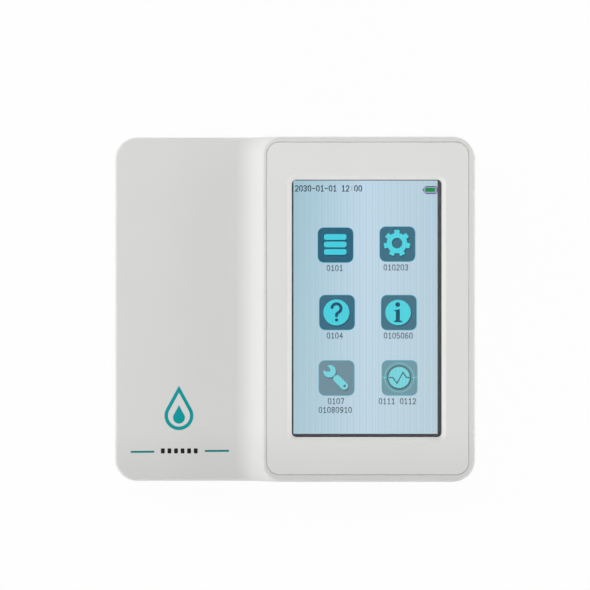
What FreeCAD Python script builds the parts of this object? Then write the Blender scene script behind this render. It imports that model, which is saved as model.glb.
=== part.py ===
"""Bench urine strip analyzer: low deck over a motor-driven strip tray, raised platform with a touch screen.

Millimetres, +Z up, origin on the table under the middle of the body.
-Y is the front, where the strip tray comes out, and -X is the low deck's side.
"""
import FreeCAD, Part
import math
import os

V = FreeCAD.Vector

# Driving sizes of the body
deck_height = 38.0
platform_rise = 7.5
deck_width = 55.4
split_height = 20.0
foot_lift = 1.5
wall = 2.2
body_corner = 8.4
platform_corner = 6.9
edge_round = 1.1
base_round = 2.4
ramp_radius = 10.5
ramp_width = 9.6

# Small fits shared by many pieces
slide_gap = 0.3
fit_gap = 0.15
shaft_gap = 0.05
overrun = 2.0

# Joint between the two case halves
seam_height = 0.5
seam_depth = 0.5
lip_thickness = 1.0
lip_height = 1.5

# Screws: shank radius, head radius and head height of the two kinds
case_shank = 1.2
case_head = 2.3
case_head_height = 1.8
case_head_wall = 0.85
small_shank = 0.9
small_head = 1.8
small_head_height = 1.1
driver_slot = 0.5
boss_wall = 1.5

# Case bosses and feet
boss_inset = 6.2
case_bore_depth = 9.0
case_screw_reach = 8.0
case_screw_bite = 7.0
foot_radius = 5.0
foot_sink = 1.0
foot_inset_x = 17.0
foot_inset_y = 13.0
foot_round = 0.5

# Screen bezel, let into the platform's top
rim_right = 2.5
rim_left = 1.8
rim_back = 2.1
rim_front = 2.8
bezel_gap = 0.12
bezel_thickness = 2.0
bezel_corner = 4.7
bezel_edge_round = 0.35
rim_chamfer = 0.25
bezel_ledge = 1.6
bezel_side = 4.05
bezel_end = 9.3
window_lap_side = 5.6
window_lap_end = 4.65
window_shift = -0.4
window_corner = 1.7
bevel_width = 1.6
bevel_depth = 1.2

# Display stack, a 4.3 inch panel stood on end
module_width = 67.2
module_height = 105.5
touch_thickness = 1.1
lcd_thickness = 2.9
lcd_glass_thickness = 1.3
gasket_thickness = 0.4
gasket_lap = 1.0
foam_thickness = 0.5
foam_width = 5.0
bracket_thickness = 1.4
bracket_margin = 1.0
bracket_tab = 4.0
bracket_slot = 4.0
bracket_slot_end = 22.75
bracket_slots = 5
display_screw_inset_x = 12.0
display_screw_inset_y = 2.8
display_screw_reach = 3.0

# Strip tray and the guide it slides in
tray_shift = 0.8
tray_side_room = 12.7
tray_height = 9.4
tray_rear_gap = 8.3
front_overhang = 4.0
front_height = 13.0
front_thickness = 3.0
front_gap = 0.5
front_round = 0.8
pull_length = 18.0
pull_radius = 2.2
pull_depth = 1.0
runner_out = 1.5
runner_height = 2.0
guide_lift = 1.3
guide_base = 1.8
guide_wall = 1.6
guide_lip = 1.0
guide_lip_reach = 1.2
guide_front_gap = 0.5
guide_rear_inset = 2.0
guide_ear = 2.6
guide_ear_front = 20.5
guide_ear_rear = 14.5
ear_offset = 3.0

# Strip holder that lifts out of the tray, and the white tile it is calibrated on
pocket_wall = 2.5
pocket_floor = 3.0
pocket_end = 4.0
holder_drop = 0.2
trough_side = 4.5
trough_depth = 4.4
trough_start = 2.0
trough_tile_gap = 2.85
groove_width = 5.6
groove_depth = 1.0
tile_length = 7.0
tile_width = 9.0
tile_thickness = 1.0
peg_radius = 1.2
peg_length = 2.4
peg_inset = 5.0

# Gear train: rack pair in one module, motor pair in a finer one
rack_module = 0.8
rack_pinion_teeth = 18
rack_back = 1.6
rack_face = 5.0
rack_lift = 0.5
rack_end_run = 6.0
drive_module = 0.6
big_gear_teeth = 45
motor_pinion_teeth = 18
big_gear_face = 3.0
gear_hub = 5.0
gear_hub_height = 1.6
pressure_angle = math.radians(20.0)
dedendum_ratio = 1.25
tooth_backlash = 0.16
pinion_from_front = 34.5
gear_pin_radius = 1.5
gear_boss = 3.5
gear_end_play = 0.15
gear_clip_radius = 3.0
gear_clip_thickness = 0.6
web_depth = 0.8
clip_mouth_share = 0.7

# Drive motor, a small permanent-magnet stepper
motor_radius = 10.0
motor_height = 12.0
motor_lift = 0.2
motor_flange = 0.8
motor_ear_offset = 14.0
motor_ear = 2.4
motor_ear_angle = math.radians(45.0)
motor_shaft_radius = 1.0
motor_collar = 3.0
motor_collar_height = 0.8
motor_shaft_above = 0.8
motor_shaft_inside = 6.0
motor_pinion_extra = 0.3

# Optics over the tray
head_from_front = 30.5
head_width = 16.0
head_depth = 18.0
head_clearance = 0.8
head_tower = 4.8
head_flange = 2.0
head_flange_out = 4.2
head_screw_spread = 6.0
bridge_thickness = 1.6
bridge_clearance = 1.1
bridge_gap = 0.3
bridge_leg = 2.4
bridge_front_leg = 12.5
bridge_rear_leg = 42.0
bridge_margin = 1.0
bridge_screw_bite = 3.7
lens_radius = 3.2
lens_thickness = 1.6
lens_lip = 0.8
light_bore = 1.3
light_bore_x = 5.4
light_bore_y = 6.2
photodiode_side = 4.0
photodiode_height = 1.2
optics_board_thickness = 1.2
optics_screw_y = 7.0
led_radius = 1.1
led_height = 1.6

# Home sensor behind the tray
sensor_width = 10.0
sensor_depth = 4.6
sensor_height = 9.0
sensor_base = 3.0
sensor_slot = 3.0
sensor_rear_gap = 1.5
sensor_pad = 1.3
flag_thickness = 1.2
flag_length = 5.8
flag_rise = 1.0
flag_height = 4.6

# Main board and what stands on it
board_left_gap = 5.1
board_right_gap = 10.5
board_front_gap = 14.5
board_rear_gap = 3.0
board_height = 27.0
board_thickness = 1.6
board_post = 2.6
board_post_inset_x = 10.0
board_post_inset_front = 4.0
board_post_inset_rear = 6.3

# Rear ports and power button
port_recess = 0.5
port_gap = 0.3
rear_place_shares = (0.328, 0.5415, 0.7362)
usb_c_width = 8.9
usb_c_height = 3.2
usb_c_depth = 8.0
usb_c_wall = 0.35
usb_c_corner = 1.44
usb_c_tongue = 0.7
usb_a_width = 13.2
usb_a_height = 5.8
usb_a_depth = 14.0
usb_a_wall = 0.4
usb_a_tongue = 1.9
button_radius = 4.0
button_gap = 0.25
button_flush = 0.1
button_rest_gap = 0.1
button_flange = 1.0
button_flange_thickness = 1.0
button_travel = 0.8
button_dish = 0.5
button_stem = 1.5
button_stem_length = 1.6
switch_side = 6.0
switch_depth = 3.6
plunger_radius = 1.0
plunger_length = 2.4
plunger_inside = 1.0

# Battery and its compartment
battery_depth = 37.4
cell_radius = 9.2
battery_gap = 1.0
bay_wall = 1.6
bay_from_back = 40.5
bay_right_gap = 1.7
bay_left_gap = 3.5
door_thickness = 1.6
door_lap = 2.0
door_lug = 3.6
door_screw_boss = 4.5
door_screw_reach = 5.0
lead_slot = 8.0

# Ribbon cables
ribbon_thickness = 0.5
ribbon_bend = 2.0
ribbon_slope_share = 0.4
display_ribbon_width = 26.0
optics_ribbon_width = 8.0
motor_lead_width = 5.0
battery_lead_width = 4.0
sensor_lead_width = 1.6
socket_height = 2.2
socket_depth = 5.0

# What stands on the main board: sizes, and places as shares of the board's width and depth
chip_height = 1.2
processor_side = 12.0
memory_width = 8.0
memory_depth = 6.0
power_side = 5.0
inductor_side = 6.0
inductor_height = 3.0
board_chips = [
    ((0.45, 0.45), processor_side, processor_side, chip_height),
    ((0.68, 0.46), memory_width, memory_depth, chip_height),
    ((0.30, 0.80), power_side, power_side, chip_height),
    ((0.42, 0.80), inductor_side, inductor_side, inductor_height),
    ((0.30, 0.30), power_side, memory_depth, chip_height),
]
wireless_width = 16.0
wireless_depth = 24.0
wireless_board = 0.8
wireless_can = 2.2
wireless_rim = 0.8
wireless_antenna = 6.0
wireless_place_shares = (0.83, 0.72)
buzzer_radius = 6.0
buzzer_height = 4.5
buzzer_hole = 1.0
buzzer_place_shares = (0.14, 0.52)
coin_radius = 6.25
coin_height = 2.0
coin_lift = 0.6
cell_place_shares = (0.80, 0.22)

# Planes and lines that the sizes above give
bezel_width = module_width + 2 * bezel_side
bezel_height = module_height + 2 * bezel_end
window_width = module_width - 2 * window_lap_side
window_height = module_height - 2 * window_lap_end
platform_width = rim_left + bezel_width + rim_right
body_width = deck_width + platform_width
body_depth = rim_front + bezel_height + rim_back
x_right = body_width / 2
x_left = -x_right
y_back = body_depth / 2
y_front = -y_back
platform_top = deck_height + platform_rise
platform_left = x_left + deck_width
floor_top = foot_lift + wall
inner_right = x_right - wall
inner_left = x_left + wall
inner_back = y_back - wall
inner_front = y_front + wall

bezel_left = platform_left + rim_left
bezel_right = x_right - rim_right
bezel_back = y_back - rim_back
bezel_front = y_front + rim_front
bezel_seat = platform_top - bezel_thickness
display_x = (bezel_left + bezel_right) / 2 + window_shift
display_y = (bezel_back + bezel_front) / 2

gasket_bottom = bezel_seat - gasket_thickness
touch_bottom = gasket_bottom - touch_thickness
lcd_bottom = touch_bottom - lcd_thickness
foam_bottom = lcd_bottom - foam_thickness
bracket_bottom = foam_bottom - bracket_thickness
module_left = display_x - module_width / 2
module_right = display_x + module_width / 2
module_front = display_y - module_height / 2
module_back = display_y + module_height / 2

tray_x = x_left + deck_width / 2 + tray_shift
guide_bottom = floor_top + guide_lift
guide_top = guide_bottom + guide_base
tray_bottom = guide_top + slide_gap
tray_top = tray_bottom + tray_height
tray_side = deck_width / 2 - tray_side_room
tray_front_y = y_front + front_thickness
tray_back_y = inner_back - tray_rear_gap
runner_side = tray_side + runner_out
guide_inner = runner_side + slide_gap
guide_outer = guide_inner + guide_wall
guide_lip_bottom = tray_bottom + runner_height + slide_gap
guide_lip_top = guide_lip_bottom + guide_lip
front_width = 2 * (tray_side + front_overhang)
guide_front_y = tray_front_y + guide_front_gap
guide_back_y = tray_back_y - guide_rear_inset

rack_bottom = guide_lip_top + rack_lift
rack_top = rack_bottom + rack_face
rack_pitch = math.pi * rack_module
rack_root_x = tray_x + tray_side + rack_back
rack_pitch_x = rack_root_x + dedendum_ratio * rack_module
pinion_pitch_radius = rack_module * rack_pinion_teeth / 2
gear_x = rack_pitch_x + pinion_pitch_radius
gear_y = y_front + pinion_from_front
tray_travel = tray_back_y - gear_y - rack_end_run
big_gear_bottom = max(rack_top + gear_hub_height, tray_top + gear_hub_height / 2)
big_gear_top = big_gear_bottom + big_gear_face
drive_distance = drive_module * (big_gear_teeth + motor_pinion_teeth) / 2
motor_x = gear_x + drive_distance
motor_y = gear_y
motor_bottom = floor_top + motor_lift
motor_top = motor_bottom + motor_height

bridge_bottom = big_gear_top + bridge_clearance
bridge_top = bridge_bottom + bridge_thickness
head_y = y_front + head_from_front
head_bottom = tray_top + head_clearance
head_top = bridge_top + head_flange + head_tower
leg_left_x = tray_x - guide_outer - ear_offset
leg_right_x = tray_x + guide_outer + ear_offset

board_left = platform_left + board_left_gap
board_right = x_right - board_right_gap
board_width = board_right - board_left
board_front_y = y_front + board_front_gap
board_back_y = inner_back - board_rear_gap
board_top = board_height + board_thickness

bay_left = platform_left + bay_left_gap + bay_wall
bay_right = inner_right - bay_right_gap - bay_wall
bay_x = (bay_left + bay_right) / 2
bay_half_x = (bay_right - bay_left) / 2
bay_half_y = battery_depth / 2 + battery_gap
bay_center_y = y_back - bay_from_back
battery_length = 2 * (bay_half_x - battery_gap)
battery_bottom = floor_top + slide_gap
battery_top = battery_bottom + 2 * cell_radius
bay_top = battery_top + battery_gap
rear_places = [platform_left + share * platform_width for share in rear_place_shares]
usb_c_place, usb_a_place, button_place = rear_places
button_z = board_top + switch_side / 2

case_boss = case_shank + boss_wall
small_boss = small_shank + boss_wall
corners = [(-1, -1), (-1, 1), (1, -1), (1, 1)]
boss_places = [(sx * (x_right - boss_inset), sy * (y_back - boss_inset)) for sx, sy in corners]
foot_places = [(sx * (x_right - foot_inset_x), sy * (y_back - foot_inset_y)) for sx, sy in corners]
guide_ear_places = [
    (x, y)
    for x in (leg_left_x, leg_right_x)
    for y in (y_front + guide_ear_front, guide_back_y - guide_ear_rear)
]
bridge_leg_places = [
    (leg_left_x, y_front + bridge_front_leg),
    (leg_left_x, y_front + bridge_rear_leg),
    (leg_right_x, y_front + bridge_front_leg),
]
board_post_places = [
    (x, y)
    for x in (board_left + board_post_inset_x, board_right - board_post_inset_front)
    for y in (board_front_y + board_post_inset_front, board_back_y - board_post_inset_rear)
]
motor_ear_places = [
    (
        motor_x + side * motor_ear_offset * math.cos(motor_ear_angle),
        motor_y + side * motor_ear_offset * math.sin(motor_ear_angle),
    )
    for side in (-1, 1)
]
door_screw_offset = bay_half_y + bay_wall + small_boss
door_screw_places = [(bay_x, bay_center_y + side * door_screw_offset) for side in (-1, 1)]
display_screw_places = [
    (x, display_y + side * (module_height / 2 + display_screw_inset_y + small_boss))
    for x in (module_left + display_screw_inset_x, module_right - display_screw_inset_x)
    for side in (-1, 1)
]


def box(x0, x1, y0, y1, z0, z1):
    return Part.makeBox(x1 - x0, y1 - y0, z1 - z0, V(x0, y0, z0))


def post(x, y, z0, z1, radius):
    return Part.makeCylinder(radius, z1 - z0, V(x, y, z0))


def posts(places, z0, z1, radius):
    return [post(x, y, z0, z1, radius) for x, y in places]


def block_at(x, y, width, depth, z0, z1):
    """A box with its middle at x, y."""
    return box(x - width / 2, x + width / 2, y - depth / 2, y + depth / 2, z0, z1)


def rod_y(x, z, y0, y1, radius):
    return Part.makeCylinder(radius, y1 - y0, V(x, y0, z), V(0, 1, 0))


def fuse(shapes):
    first, rest = shapes[0], shapes[1:]
    return first.fuse(rest).removeSplitter() if rest else first


def group(shapes):
    return Part.makeCompound(shapes)


def rounded_face(x0, x1, y0, y1, radii):
    """A flat rectangle with its own radius at front-left, front-right, back-right and back-left."""
    fl, fr, br, bl = radii
    edges = []

    def line(a, b):
        if (b - a).Length > 1e-6:
            edges.append(Part.LineSegment(a, b).toShape())

    def arc(a, b, cx, cy, radius, middle):
        if radius > 0:
            m = V(cx + radius * math.cos(middle), cy + radius * math.sin(middle), 0)
            edges.append(Part.Arc(a, m, b).toShape())

    line(V(x0 + fl, y0, 0), V(x1 - fr, y0, 0))
    arc(V(x1 - fr, y0, 0), V(x1, y0 + fr, 0), x1 - fr, y0 + fr, fr, -math.pi / 4)
    line(V(x1, y0 + fr, 0), V(x1, y1 - br, 0))
    arc(V(x1, y1 - br, 0), V(x1 - br, y1, 0), x1 - br, y1 - br, br, math.pi / 4)
    line(V(x1 - br, y1, 0), V(x0 + bl, y1, 0))
    arc(V(x0 + bl, y1, 0), V(x0, y1 - bl, 0), x0 + bl, y1 - bl, bl, 3 * math.pi / 4)
    line(V(x0, y1 - bl, 0), V(x0, y0 + fl, 0))
    arc(V(x0, y0 + fl, 0), V(x0 + fl, y0, 0), x0 + fl, y0 + fl, fl, -3 * math.pi / 4)
    return Part.Face(Part.Wire(edges))


def slab(x0, x1, y0, y1, z0, z1, radii):
    """An upright prism with rounded corners; radii is one radius or four."""
    four = radii if isinstance(radii, tuple) else (radii,) * 4
    face = rounded_face(x0, x1, y0, y1, four)
    face.translate(V(0, 0, z0))
    return face.extrude(V(0, 0, z1 - z0))


def body_slab(inset, z0, z1):
    """The body's outline, moved in by inset, as a prism."""
    corner = max(body_corner - inset, edge_round)
    return slab(x_left + inset, x_right - inset, y_front + inset, y_back - inset, z0, z1, corner)


def flare(x0, x1, y0, y1, radius, widen, depth, top):
    """A cutter that widens a rounded opening on all sides over the last bit below top."""
    wires = []
    for grow, z in ((0, top - depth), (widen, top)):
        face = rounded_face(x0 - grow, x1 + grow, y0 - grow, y1 + grow, (radius + grow,) * 4)
        face.translate(V(0, 0, z))
        wires.append(face.OuterWire)
    return Part.makeLoft(wires, True, True)


def round_level(shape, z, radius):
    """Fillets every edge that lies flat at height z."""
    flat = [e for e in shape.Edges if abs(e.BoundBox.ZMin - z) < 1e-4 and abs(e.BoundBox.ZMax - z) < 1e-4]
    return shape.makeFillet(radius, flat)


def screw(x, y, seat, reach, up, shank, head, head_height):
    """A pan-head screw whose head bears on height seat; up says which way its shank points."""
    way = 1 if up else -1
    axis = V(0, 0, way)
    body = Part.makeCylinder(head, head_height, V(x, y, seat - way * head_height), axis)
    body = body.fuse(Part.makeCylinder(shank, reach, V(x, y, seat), axis))
    slot_z = sorted((seat - way * head_height, seat - way * head_height / 2))
    half = driver_slot / 2
    arm = head - driver_slot
    slots = [
        box(x - arm, x + arm, y - half, y + half, *slot_z),
        box(x - half, x + half, y - arm, y + arm, *slot_z),
    ]
    return body.cut(slots)


def small_screws(places, seat, reach, up=False):
    sizes = (small_shank, small_head, small_head_height)
    return group([screw(x, y, seat, reach, up, *sizes) for x, y in places])


def bores(places, z0, z1):
    """The holes for small screws."""
    return posts(places, z0, z1, small_shank + shaft_gap)


def heading(a, b):
    length = math.hypot(b[0] - a[0], b[1] - a[1])
    return (b[0] - a[0]) / length, (b[1] - a[1]) / length


def beside(point, direction, offset):
    """The point moved to the left of a direction by offset."""
    return point[0] - direction[1] * offset, point[1] + direction[0] * offset


def ribbon_side(points, offset, place):
    """The edges along one side of a ribbon's path: straight runs joined by arcs."""
    edges = []
    at = beside(points[0], heading(points[0], points[1]), offset)
    for before, corner, after in zip(points, points[1:], points[2:]):
        d0, d1 = heading(before, corner), heading(corner, after)
        turn = math.atan2(d0[0] * d1[1] - d0[1] * d1[0], d0[0] * d1[0] + d0[1] * d1[1])
        left = 1 if turn > 0 else -1
        cut_back = ribbon_bend * math.tan(abs(turn) / 2)
        start = (corner[0] - d0[0] * cut_back, corner[1] - d0[1] * cut_back)
        centre = beside(start, d0, ribbon_bend * left)
        radius = ribbon_bend - left * offset
        arm = beside((0, 0), d0, -left)
        stops = []
        for share in (0, 0.5, 1):
            c, s = math.cos(turn * share), math.sin(turn * share)
            x, y = arm[0] * c - arm[1] * s, arm[0] * s + arm[1] * c
            stops.append((centre[0] + radius * x, centre[1] + radius * y))
        edges.append(Part.LineSegment(place(at), place(stops[0])).toShape())
        edges.append(Part.Arc(*[place(p) for p in stops]).toShape())
        at = stops[2]
    last = beside(points[-1], heading(points[-2], points[-1]), offset)
    edges.append(Part.LineSegment(place(at), place(last)).toShape())
    return edges


def ribbon(points, middle, width, plane):
    """A flat cable along straight runs joined by bends, drawn in the "xz" or "yz" plane.

    middle is the place of its centre line along the remaining axis.
    """
    low = middle - width / 2

    def place(p):
        return V(p[0], low, p[1]) if plane == "xz" else V(low, p[0], p[1])

    half = ribbon_thickness / 2
    one, other = ribbon_side(points, half, place), ribbon_side(points, -half, place)
    caps = [
        Part.LineSegment(one[0].Vertexes[0].Point, other[0].Vertexes[0].Point).toShape(),
        Part.LineSegment(one[-1].Vertexes[-1].Point, other[-1].Vertexes[-1].Point).toShape(),
    ]
    face = Part.Face(Part.Wire(Part.__sortEdges__(one + other + caps)))
    return face.extrude(V(0, width, 0) if plane == "xz" else V(width, 0, 0))


def gear_outline(module, teeth, phase):
    """The corner points of an involute gear round the origin, with one tooth centred on angle phase."""
    pitch = module * teeth / 2
    base = pitch * math.cos(pressure_angle)
    tip = pitch + module
    root = pitch - dedendum_ratio * module
    half_tooth = math.pi / (2 * teeth) - tooth_backlash / 2 / pitch
    roll = math.tan(pressure_angle) - pressure_angle
    flank = []
    steps = 3
    for i in range(steps):
        radius = max(base, root) + (tip - max(base, root)) * i / (steps - 1)
        turn = math.sqrt(max((radius / base) ** 2 - 1, 0))
        flank.append((radius, half_tooth + roll - (turn - math.atan(turn))))
    points = []
    for tooth in range(teeth):
        centre = phase + 2 * math.pi * tooth / teeth
        one_side = [(root, -flank[0][1])] + [(r, -a) for r, a in flank]
        other_side = [(r, a) for r, a in reversed(flank)] + [(root, flank[0][1])]
        points += [(r * math.cos(centre + a), r * math.sin(centre + a)) for r, a in one_side + other_side]
    return points


def gear_wheel(x, y, z0, z1, module, teeth, phase):
    outline = [V(x + px, y + py, z0) for px, py in gear_outline(module, teeth, phase)]
    face = Part.Face(Part.makePolygon(outline + outline[:1]))
    return face.extrude(V(0, 0, z1 - z0))


def platform_slab(inset, z0, z1):
    """The platform's outline, moved in by inset, as a prism."""
    near, far = platform_corner - inset, body_corner - inset
    x0, x1 = platform_left + inset, x_right - inset
    return slab(x0, x1, y_front + inset, y_back - inset, z0, z1, (near, far, far, near))


def ramp_profile(corner_x, keep):
    """The concave sweep from deck to platform as a face in the XZ plane, left of corner_x.

    It runs past the platform's edge by keep, so that its outer edges can be rounded before it is trimmed.
    """
    wall_x = platform_left
    start = V(wall_x - ramp_width, 0, deck_height)

    def on_arc(across):
        drop = math.sqrt(ramp_radius ** 2 - across ** 2)
        return V(wall_x - ramp_width + across, 0, deck_height + ramp_radius - drop)

    end = on_arc(ramp_width + keep)
    arc = Part.Arc(start, on_arc(ramp_width * 0.6), end).toShape()
    top = end.z
    lines = [
        V(end.x, 0, end.z),
        V(corner_x, 0, top),
        V(corner_x, 0, split_height),
        V(start.x, 0, split_height),
        start,
    ]
    edges = [arc] + [Part.LineSegment(a, b).toShape() for a, b in zip(lines, lines[1:])]
    return Part.Face(Part.Wire(edges))


def outer_upper():
    """The upper case's outside as one solid: deck, concave ramp and platform, with rounded top edges."""
    corner_x = platform_left + platform_corner
    corner_y = y_back - platform_corner
    keep = edge_round / 2
    profile = ramp_profile(corner_x, keep)
    straight = profile.copy()
    straight.translate(V(0, -corner_y, 0))
    straight = straight.extrude(V(0, 2 * corner_y, 0))
    turned = []
    for side in (-1, 1):
        piece = profile.copy()
        piece.translate(V(0, side * corner_y, 0))
        turned.append(piece.revolve(V(corner_x, side * corner_y, 0), V(0, 0, 1), 360.0))
    y0, y1 = y_front - overrun, y_back + overrun
    over_top = platform_top + ramp_radius
    block = box(x_left - overrun, corner_x + ramp_width, y0, y1, split_height, deck_height)
    body = body_slab(0, split_height, over_top)
    low = fuse([piece.common(body) for piece in [block, straight] + turned])
    rim = [e for e in low.Edges if is_deck_rim(e)]
    low = low.makeFillet(edge_round, rim)
    low = low.cut(box(corner_x, x_right + overrun, y0, y1, split_height - overrun, over_top))
    low = low.cut(platform_slab(fit_gap, split_height - overrun, over_top))
    high = round_level(platform_slab(0, split_height, platform_top), platform_top, edge_round)
    return low.fuse(high).removeSplitter()


def is_deck_rim(edge):
    """True for the edges where the deck and ramp meet the body's outer walls."""
    b = edge.BoundBox
    if b.ZMin < deck_height - 1e-3:
        return False
    on_left = b.XMax < x_left + body_corner + 1e-3
    on_side = abs(abs(b.YMin) - y_back) < 1e-3 and abs(abs(b.YMax) - y_back) < 1e-3
    return on_left or on_side


def make_upper_case():
    outer = outer_upper()
    deck_room = body_slab(wall, split_height - overrun, deck_height - wall)
    screen_room = slab(
        platform_left + wall, inner_right, inner_front, inner_back,
        split_height - overrun, bezel_seat - bezel_ledge, body_corner - wall,
    )
    hollow = deck_room.fuse(screen_room)
    shell = outer.cut(hollow)
    # Bosses that the case screws and the display screws bite into
    adds = []
    for x, y in boss_places:
        top = deck_height - wall if x < platform_left else bezel_seat - bezel_ledge
        adds.append(post(x, y, split_height, top + fit_gap, case_boss))
    for x, y in display_screw_places:
        adds.append(post(x, y, foam_bottom, bezel_seat - bezel_ledge + fit_gap, small_boss))
    shell = shell.fuse(adds)
    below, bore_top = split_height - overrun, split_height + case_bore_depth
    cuts = posts(boss_places, below, bore_top, case_shank + shaft_gap)
    cuts += bores(display_screw_places, foam_bottom - overrun, foam_bottom + display_screw_reach + fit_gap)
    # Recess for the bezel and the opening for the display under it
    recess = (
        bezel_left - bezel_gap, bezel_right + bezel_gap, bezel_front - bezel_gap, bezel_back + bezel_gap,
    )
    recess_corner = bezel_corner + bezel_gap
    cuts.append(slab(*recess, bezel_seat, platform_top + overrun, recess_corner))
    cuts.append(flare(*recess, recess_corner, rim_chamfer, rim_chamfer, platform_top))
    cuts.append(module_slab(slide_gap, bezel_seat - bezel_ledge - overrun, bezel_seat + overrun))
    # Rebates at the seam: one outside for the shadow line, one inside for the lower case's lip
    lip_out = wall - lip_thickness - fit_gap
    seam_top = split_height + seam_height
    cuts.append(body_slab(-overrun, below, seam_top).cut(body_slab(seam_depth, below, seam_top)))
    lip_top = split_height + lip_height + fit_gap
    cuts.append(body_slab(lip_out, below, lip_top).cut(body_slab(wall, below, lip_top)))
    # Rear wall: two sockets and the button
    y0, y1 = inner_back - overrun, y_back + overrun
    sockets = ((usb_c_place, usb_c_width, usb_c_height), (usb_a_place, usb_a_width, usb_a_height))
    for place, width, height in sockets:
        half = width / 2 + port_gap
        low, high = board_top - port_gap, board_top + height + port_gap
        cuts.append(box(place - half, place + half, y0, y1, low, high))
    cuts.append(rod_y(button_place, button_z, y0, y1, button_radius + button_gap))
    return shell.cut(cuts).removeSplitter()


def make_lower_case():
    shell = round_level(body_slab(0, foot_lift, split_height), foot_lift, base_round)
    shell = shell.cut(body_slab(wall, floor_top, split_height + overrun))
    adds = [
        body_slab(wall - lip_thickness, split_height - overrun, split_height + lip_height).cut(
            body_slab(wall, split_height - 2 * overrun, split_height + 2 * overrun)),
    ]
    root = floor_top - fit_gap
    adds += posts(boss_places, root, split_height, case_head + case_head_wall)
    adds += posts(guide_ear_places, root, guide_bottom, guide_ear)
    adds += posts(bridge_leg_places, root, bridge_bottom, bridge_leg)
    adds += posts(board_post_places, root, board_height, board_post)
    adds += posts(motor_ear_places, root, motor_top - motor_flange, motor_ear)
    adds.append(post(gear_x, gear_y, root, rack_bottom - gear_end_play, gear_boss))
    sensor_y = inner_back - sensor_rear_gap - sensor_depth / 2
    adds.append(block_at(tray_x, sensor_y, sensor_width, sensor_depth, root, floor_top + sensor_pad))
    # Webs that tie the posts on the deck's side to the side wall
    for x, y in bridge_leg_places[:2]:
        adds.append(box(inner_left - fit_gap, x, y - bay_wall / 2, y + bay_wall / 2, root, split_height))
    # Battery bay: four walls and a ceiling, open below
    outer_w, outer_d = 2 * (bay_half_x + bay_wall), 2 * (bay_half_y + bay_wall)
    adds.append(block_at(bay_x, bay_center_y, outer_w, outer_d, root, bay_top + bay_wall))
    adds += posts(door_screw_places, root, floor_top + door_screw_boss, small_boss)
    # Foot pads inside, so that the foot recesses leave a full floor
    adds += posts(foot_places, root, floor_top + foot_sink, foot_radius + boss_wall)
    shell = shell.fuse(adds)
    cuts = posts(boss_places, foot_lift - overrun, split_height + overrun, case_shank + fit_gap)
    screw_seat = split_height - case_screw_reach
    cuts += posts(boss_places, foot_lift - overrun, screw_seat, case_head + fit_gap)
    cuts += bores(guide_ear_places, foot_lift + wall / 2, guide_bottom + overrun)
    cuts += bores(bridge_leg_places, bridge_bottom - bridge_screw_bite, bridge_bottom + overrun)
    cuts += bores(board_post_places, board_height - case_bore_depth, board_height + overrun)
    cuts += bores(motor_ear_places, motor_top - case_bore_depth, motor_top)
    cuts.append(post(gear_x, gear_y, foot_lift + wall / 2, rack_bottom, gear_pin_radius))
    cuts += posts(foot_places, foot_lift - overrun, foot_lift + foot_sink, foot_radius + fit_gap)
    # The tray's doorway in the front wall
    half_door = front_width / 2 + front_gap
    cuts.append(box(
        tray_x - half_door, tray_x + half_door, y_front - overrun, inner_front + front_gap,
        split_height - front_gap - front_height - front_gap, split_height + lip_height + overrun,
    ))
    # Battery bay inside, its doorway in the floor, the door's rebate and the lead's slot
    cuts.append(block_at(bay_x, bay_center_y, 2 * bay_half_x, 2 * bay_half_y, foot_lift - overrun, bay_top))
    cuts.append(slab(*door_edges(fit_gap), foot_lift - overrun, foot_lift + door_thickness, door_lap))
    cuts += posts(door_screw_places, foot_lift - overrun, foot_lift + door_thickness, door_lug + fit_gap)
    cuts += bores(door_screw_places, foot_lift, floor_top + door_screw_boss - fit_gap)
    over_bay = bay_top + 2 * bay_wall
    cuts.append(block_at(bay_x, bay_center_y, lead_slot, lead_slot, bay_top - overrun, over_bay))
    return shell.cut(cuts).removeSplitter()


def door_edges(grow):
    """The battery door's low and high X and Y, moved out by grow."""
    reach_x = bay_half_x + door_lap + grow
    reach_y = bay_half_y + door_lap + grow
    return bay_x - reach_x, bay_x + reach_x, bay_center_y - reach_y, bay_center_y + reach_y


def make_rubber_feet():
    feet = []
    for x, y in foot_places:
        foot = post(x, y, 0, foot_lift + foot_sink, foot_radius)
        feet.append(round_level(foot, 0, foot_round))
    return group(feet)


def make_case_screws():
    seat = split_height - case_screw_reach
    reach = case_screw_reach + case_screw_bite
    return group([
        screw(x, y, seat, reach, True, case_shank, case_head, case_head_height) for x, y in boss_places
    ])


def make_battery_door():
    door = slab(*door_edges(0), foot_lift, foot_lift + door_thickness, door_lap)
    door = fuse([door] + posts(door_screw_places, foot_lift, foot_lift + door_thickness, door_lug))
    seat = foot_lift + small_head_height
    holes = posts(door_screw_places, foot_lift - overrun, seat, small_head + fit_gap)
    holes += bores(door_screw_places, foot_lift - overrun, floor_top)
    return door.cut(holes)


def make_door_screws():
    seat = foot_lift + small_head_height
    return small_screws(door_screw_places, seat, door_screw_reach, up=True)


def make_screen_bezel():
    """The flat plate round the screen, its window bevelled inwards."""
    plate = slab(bezel_left, bezel_right, bezel_front, bezel_back, bezel_seat, platform_top, bezel_corner)
    plate = round_level(plate, platform_top, bezel_edge_round)
    half_w, half_h = window_width / 2, window_height / 2
    edges = (display_x - half_w, display_x + half_w, display_y - half_h, display_y + half_h)
    window = slab(*edges, bezel_seat - overrun, platform_top + overrun, window_corner)
    return plate.cut([window, flare(*edges, window_corner, bevel_width, bevel_depth, platform_top)])


def module_slab(grow, z0, z1):
    """The display module's outline, moved out by grow, as a prism."""
    y0, y1 = module_front - grow, module_back + grow
    return slab(module_left - grow, module_right + grow, y0, y1, z0, z1, window_corner)


def make_touch_panel():
    return module_slab(0, touch_bottom, gasket_bottom)


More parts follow.
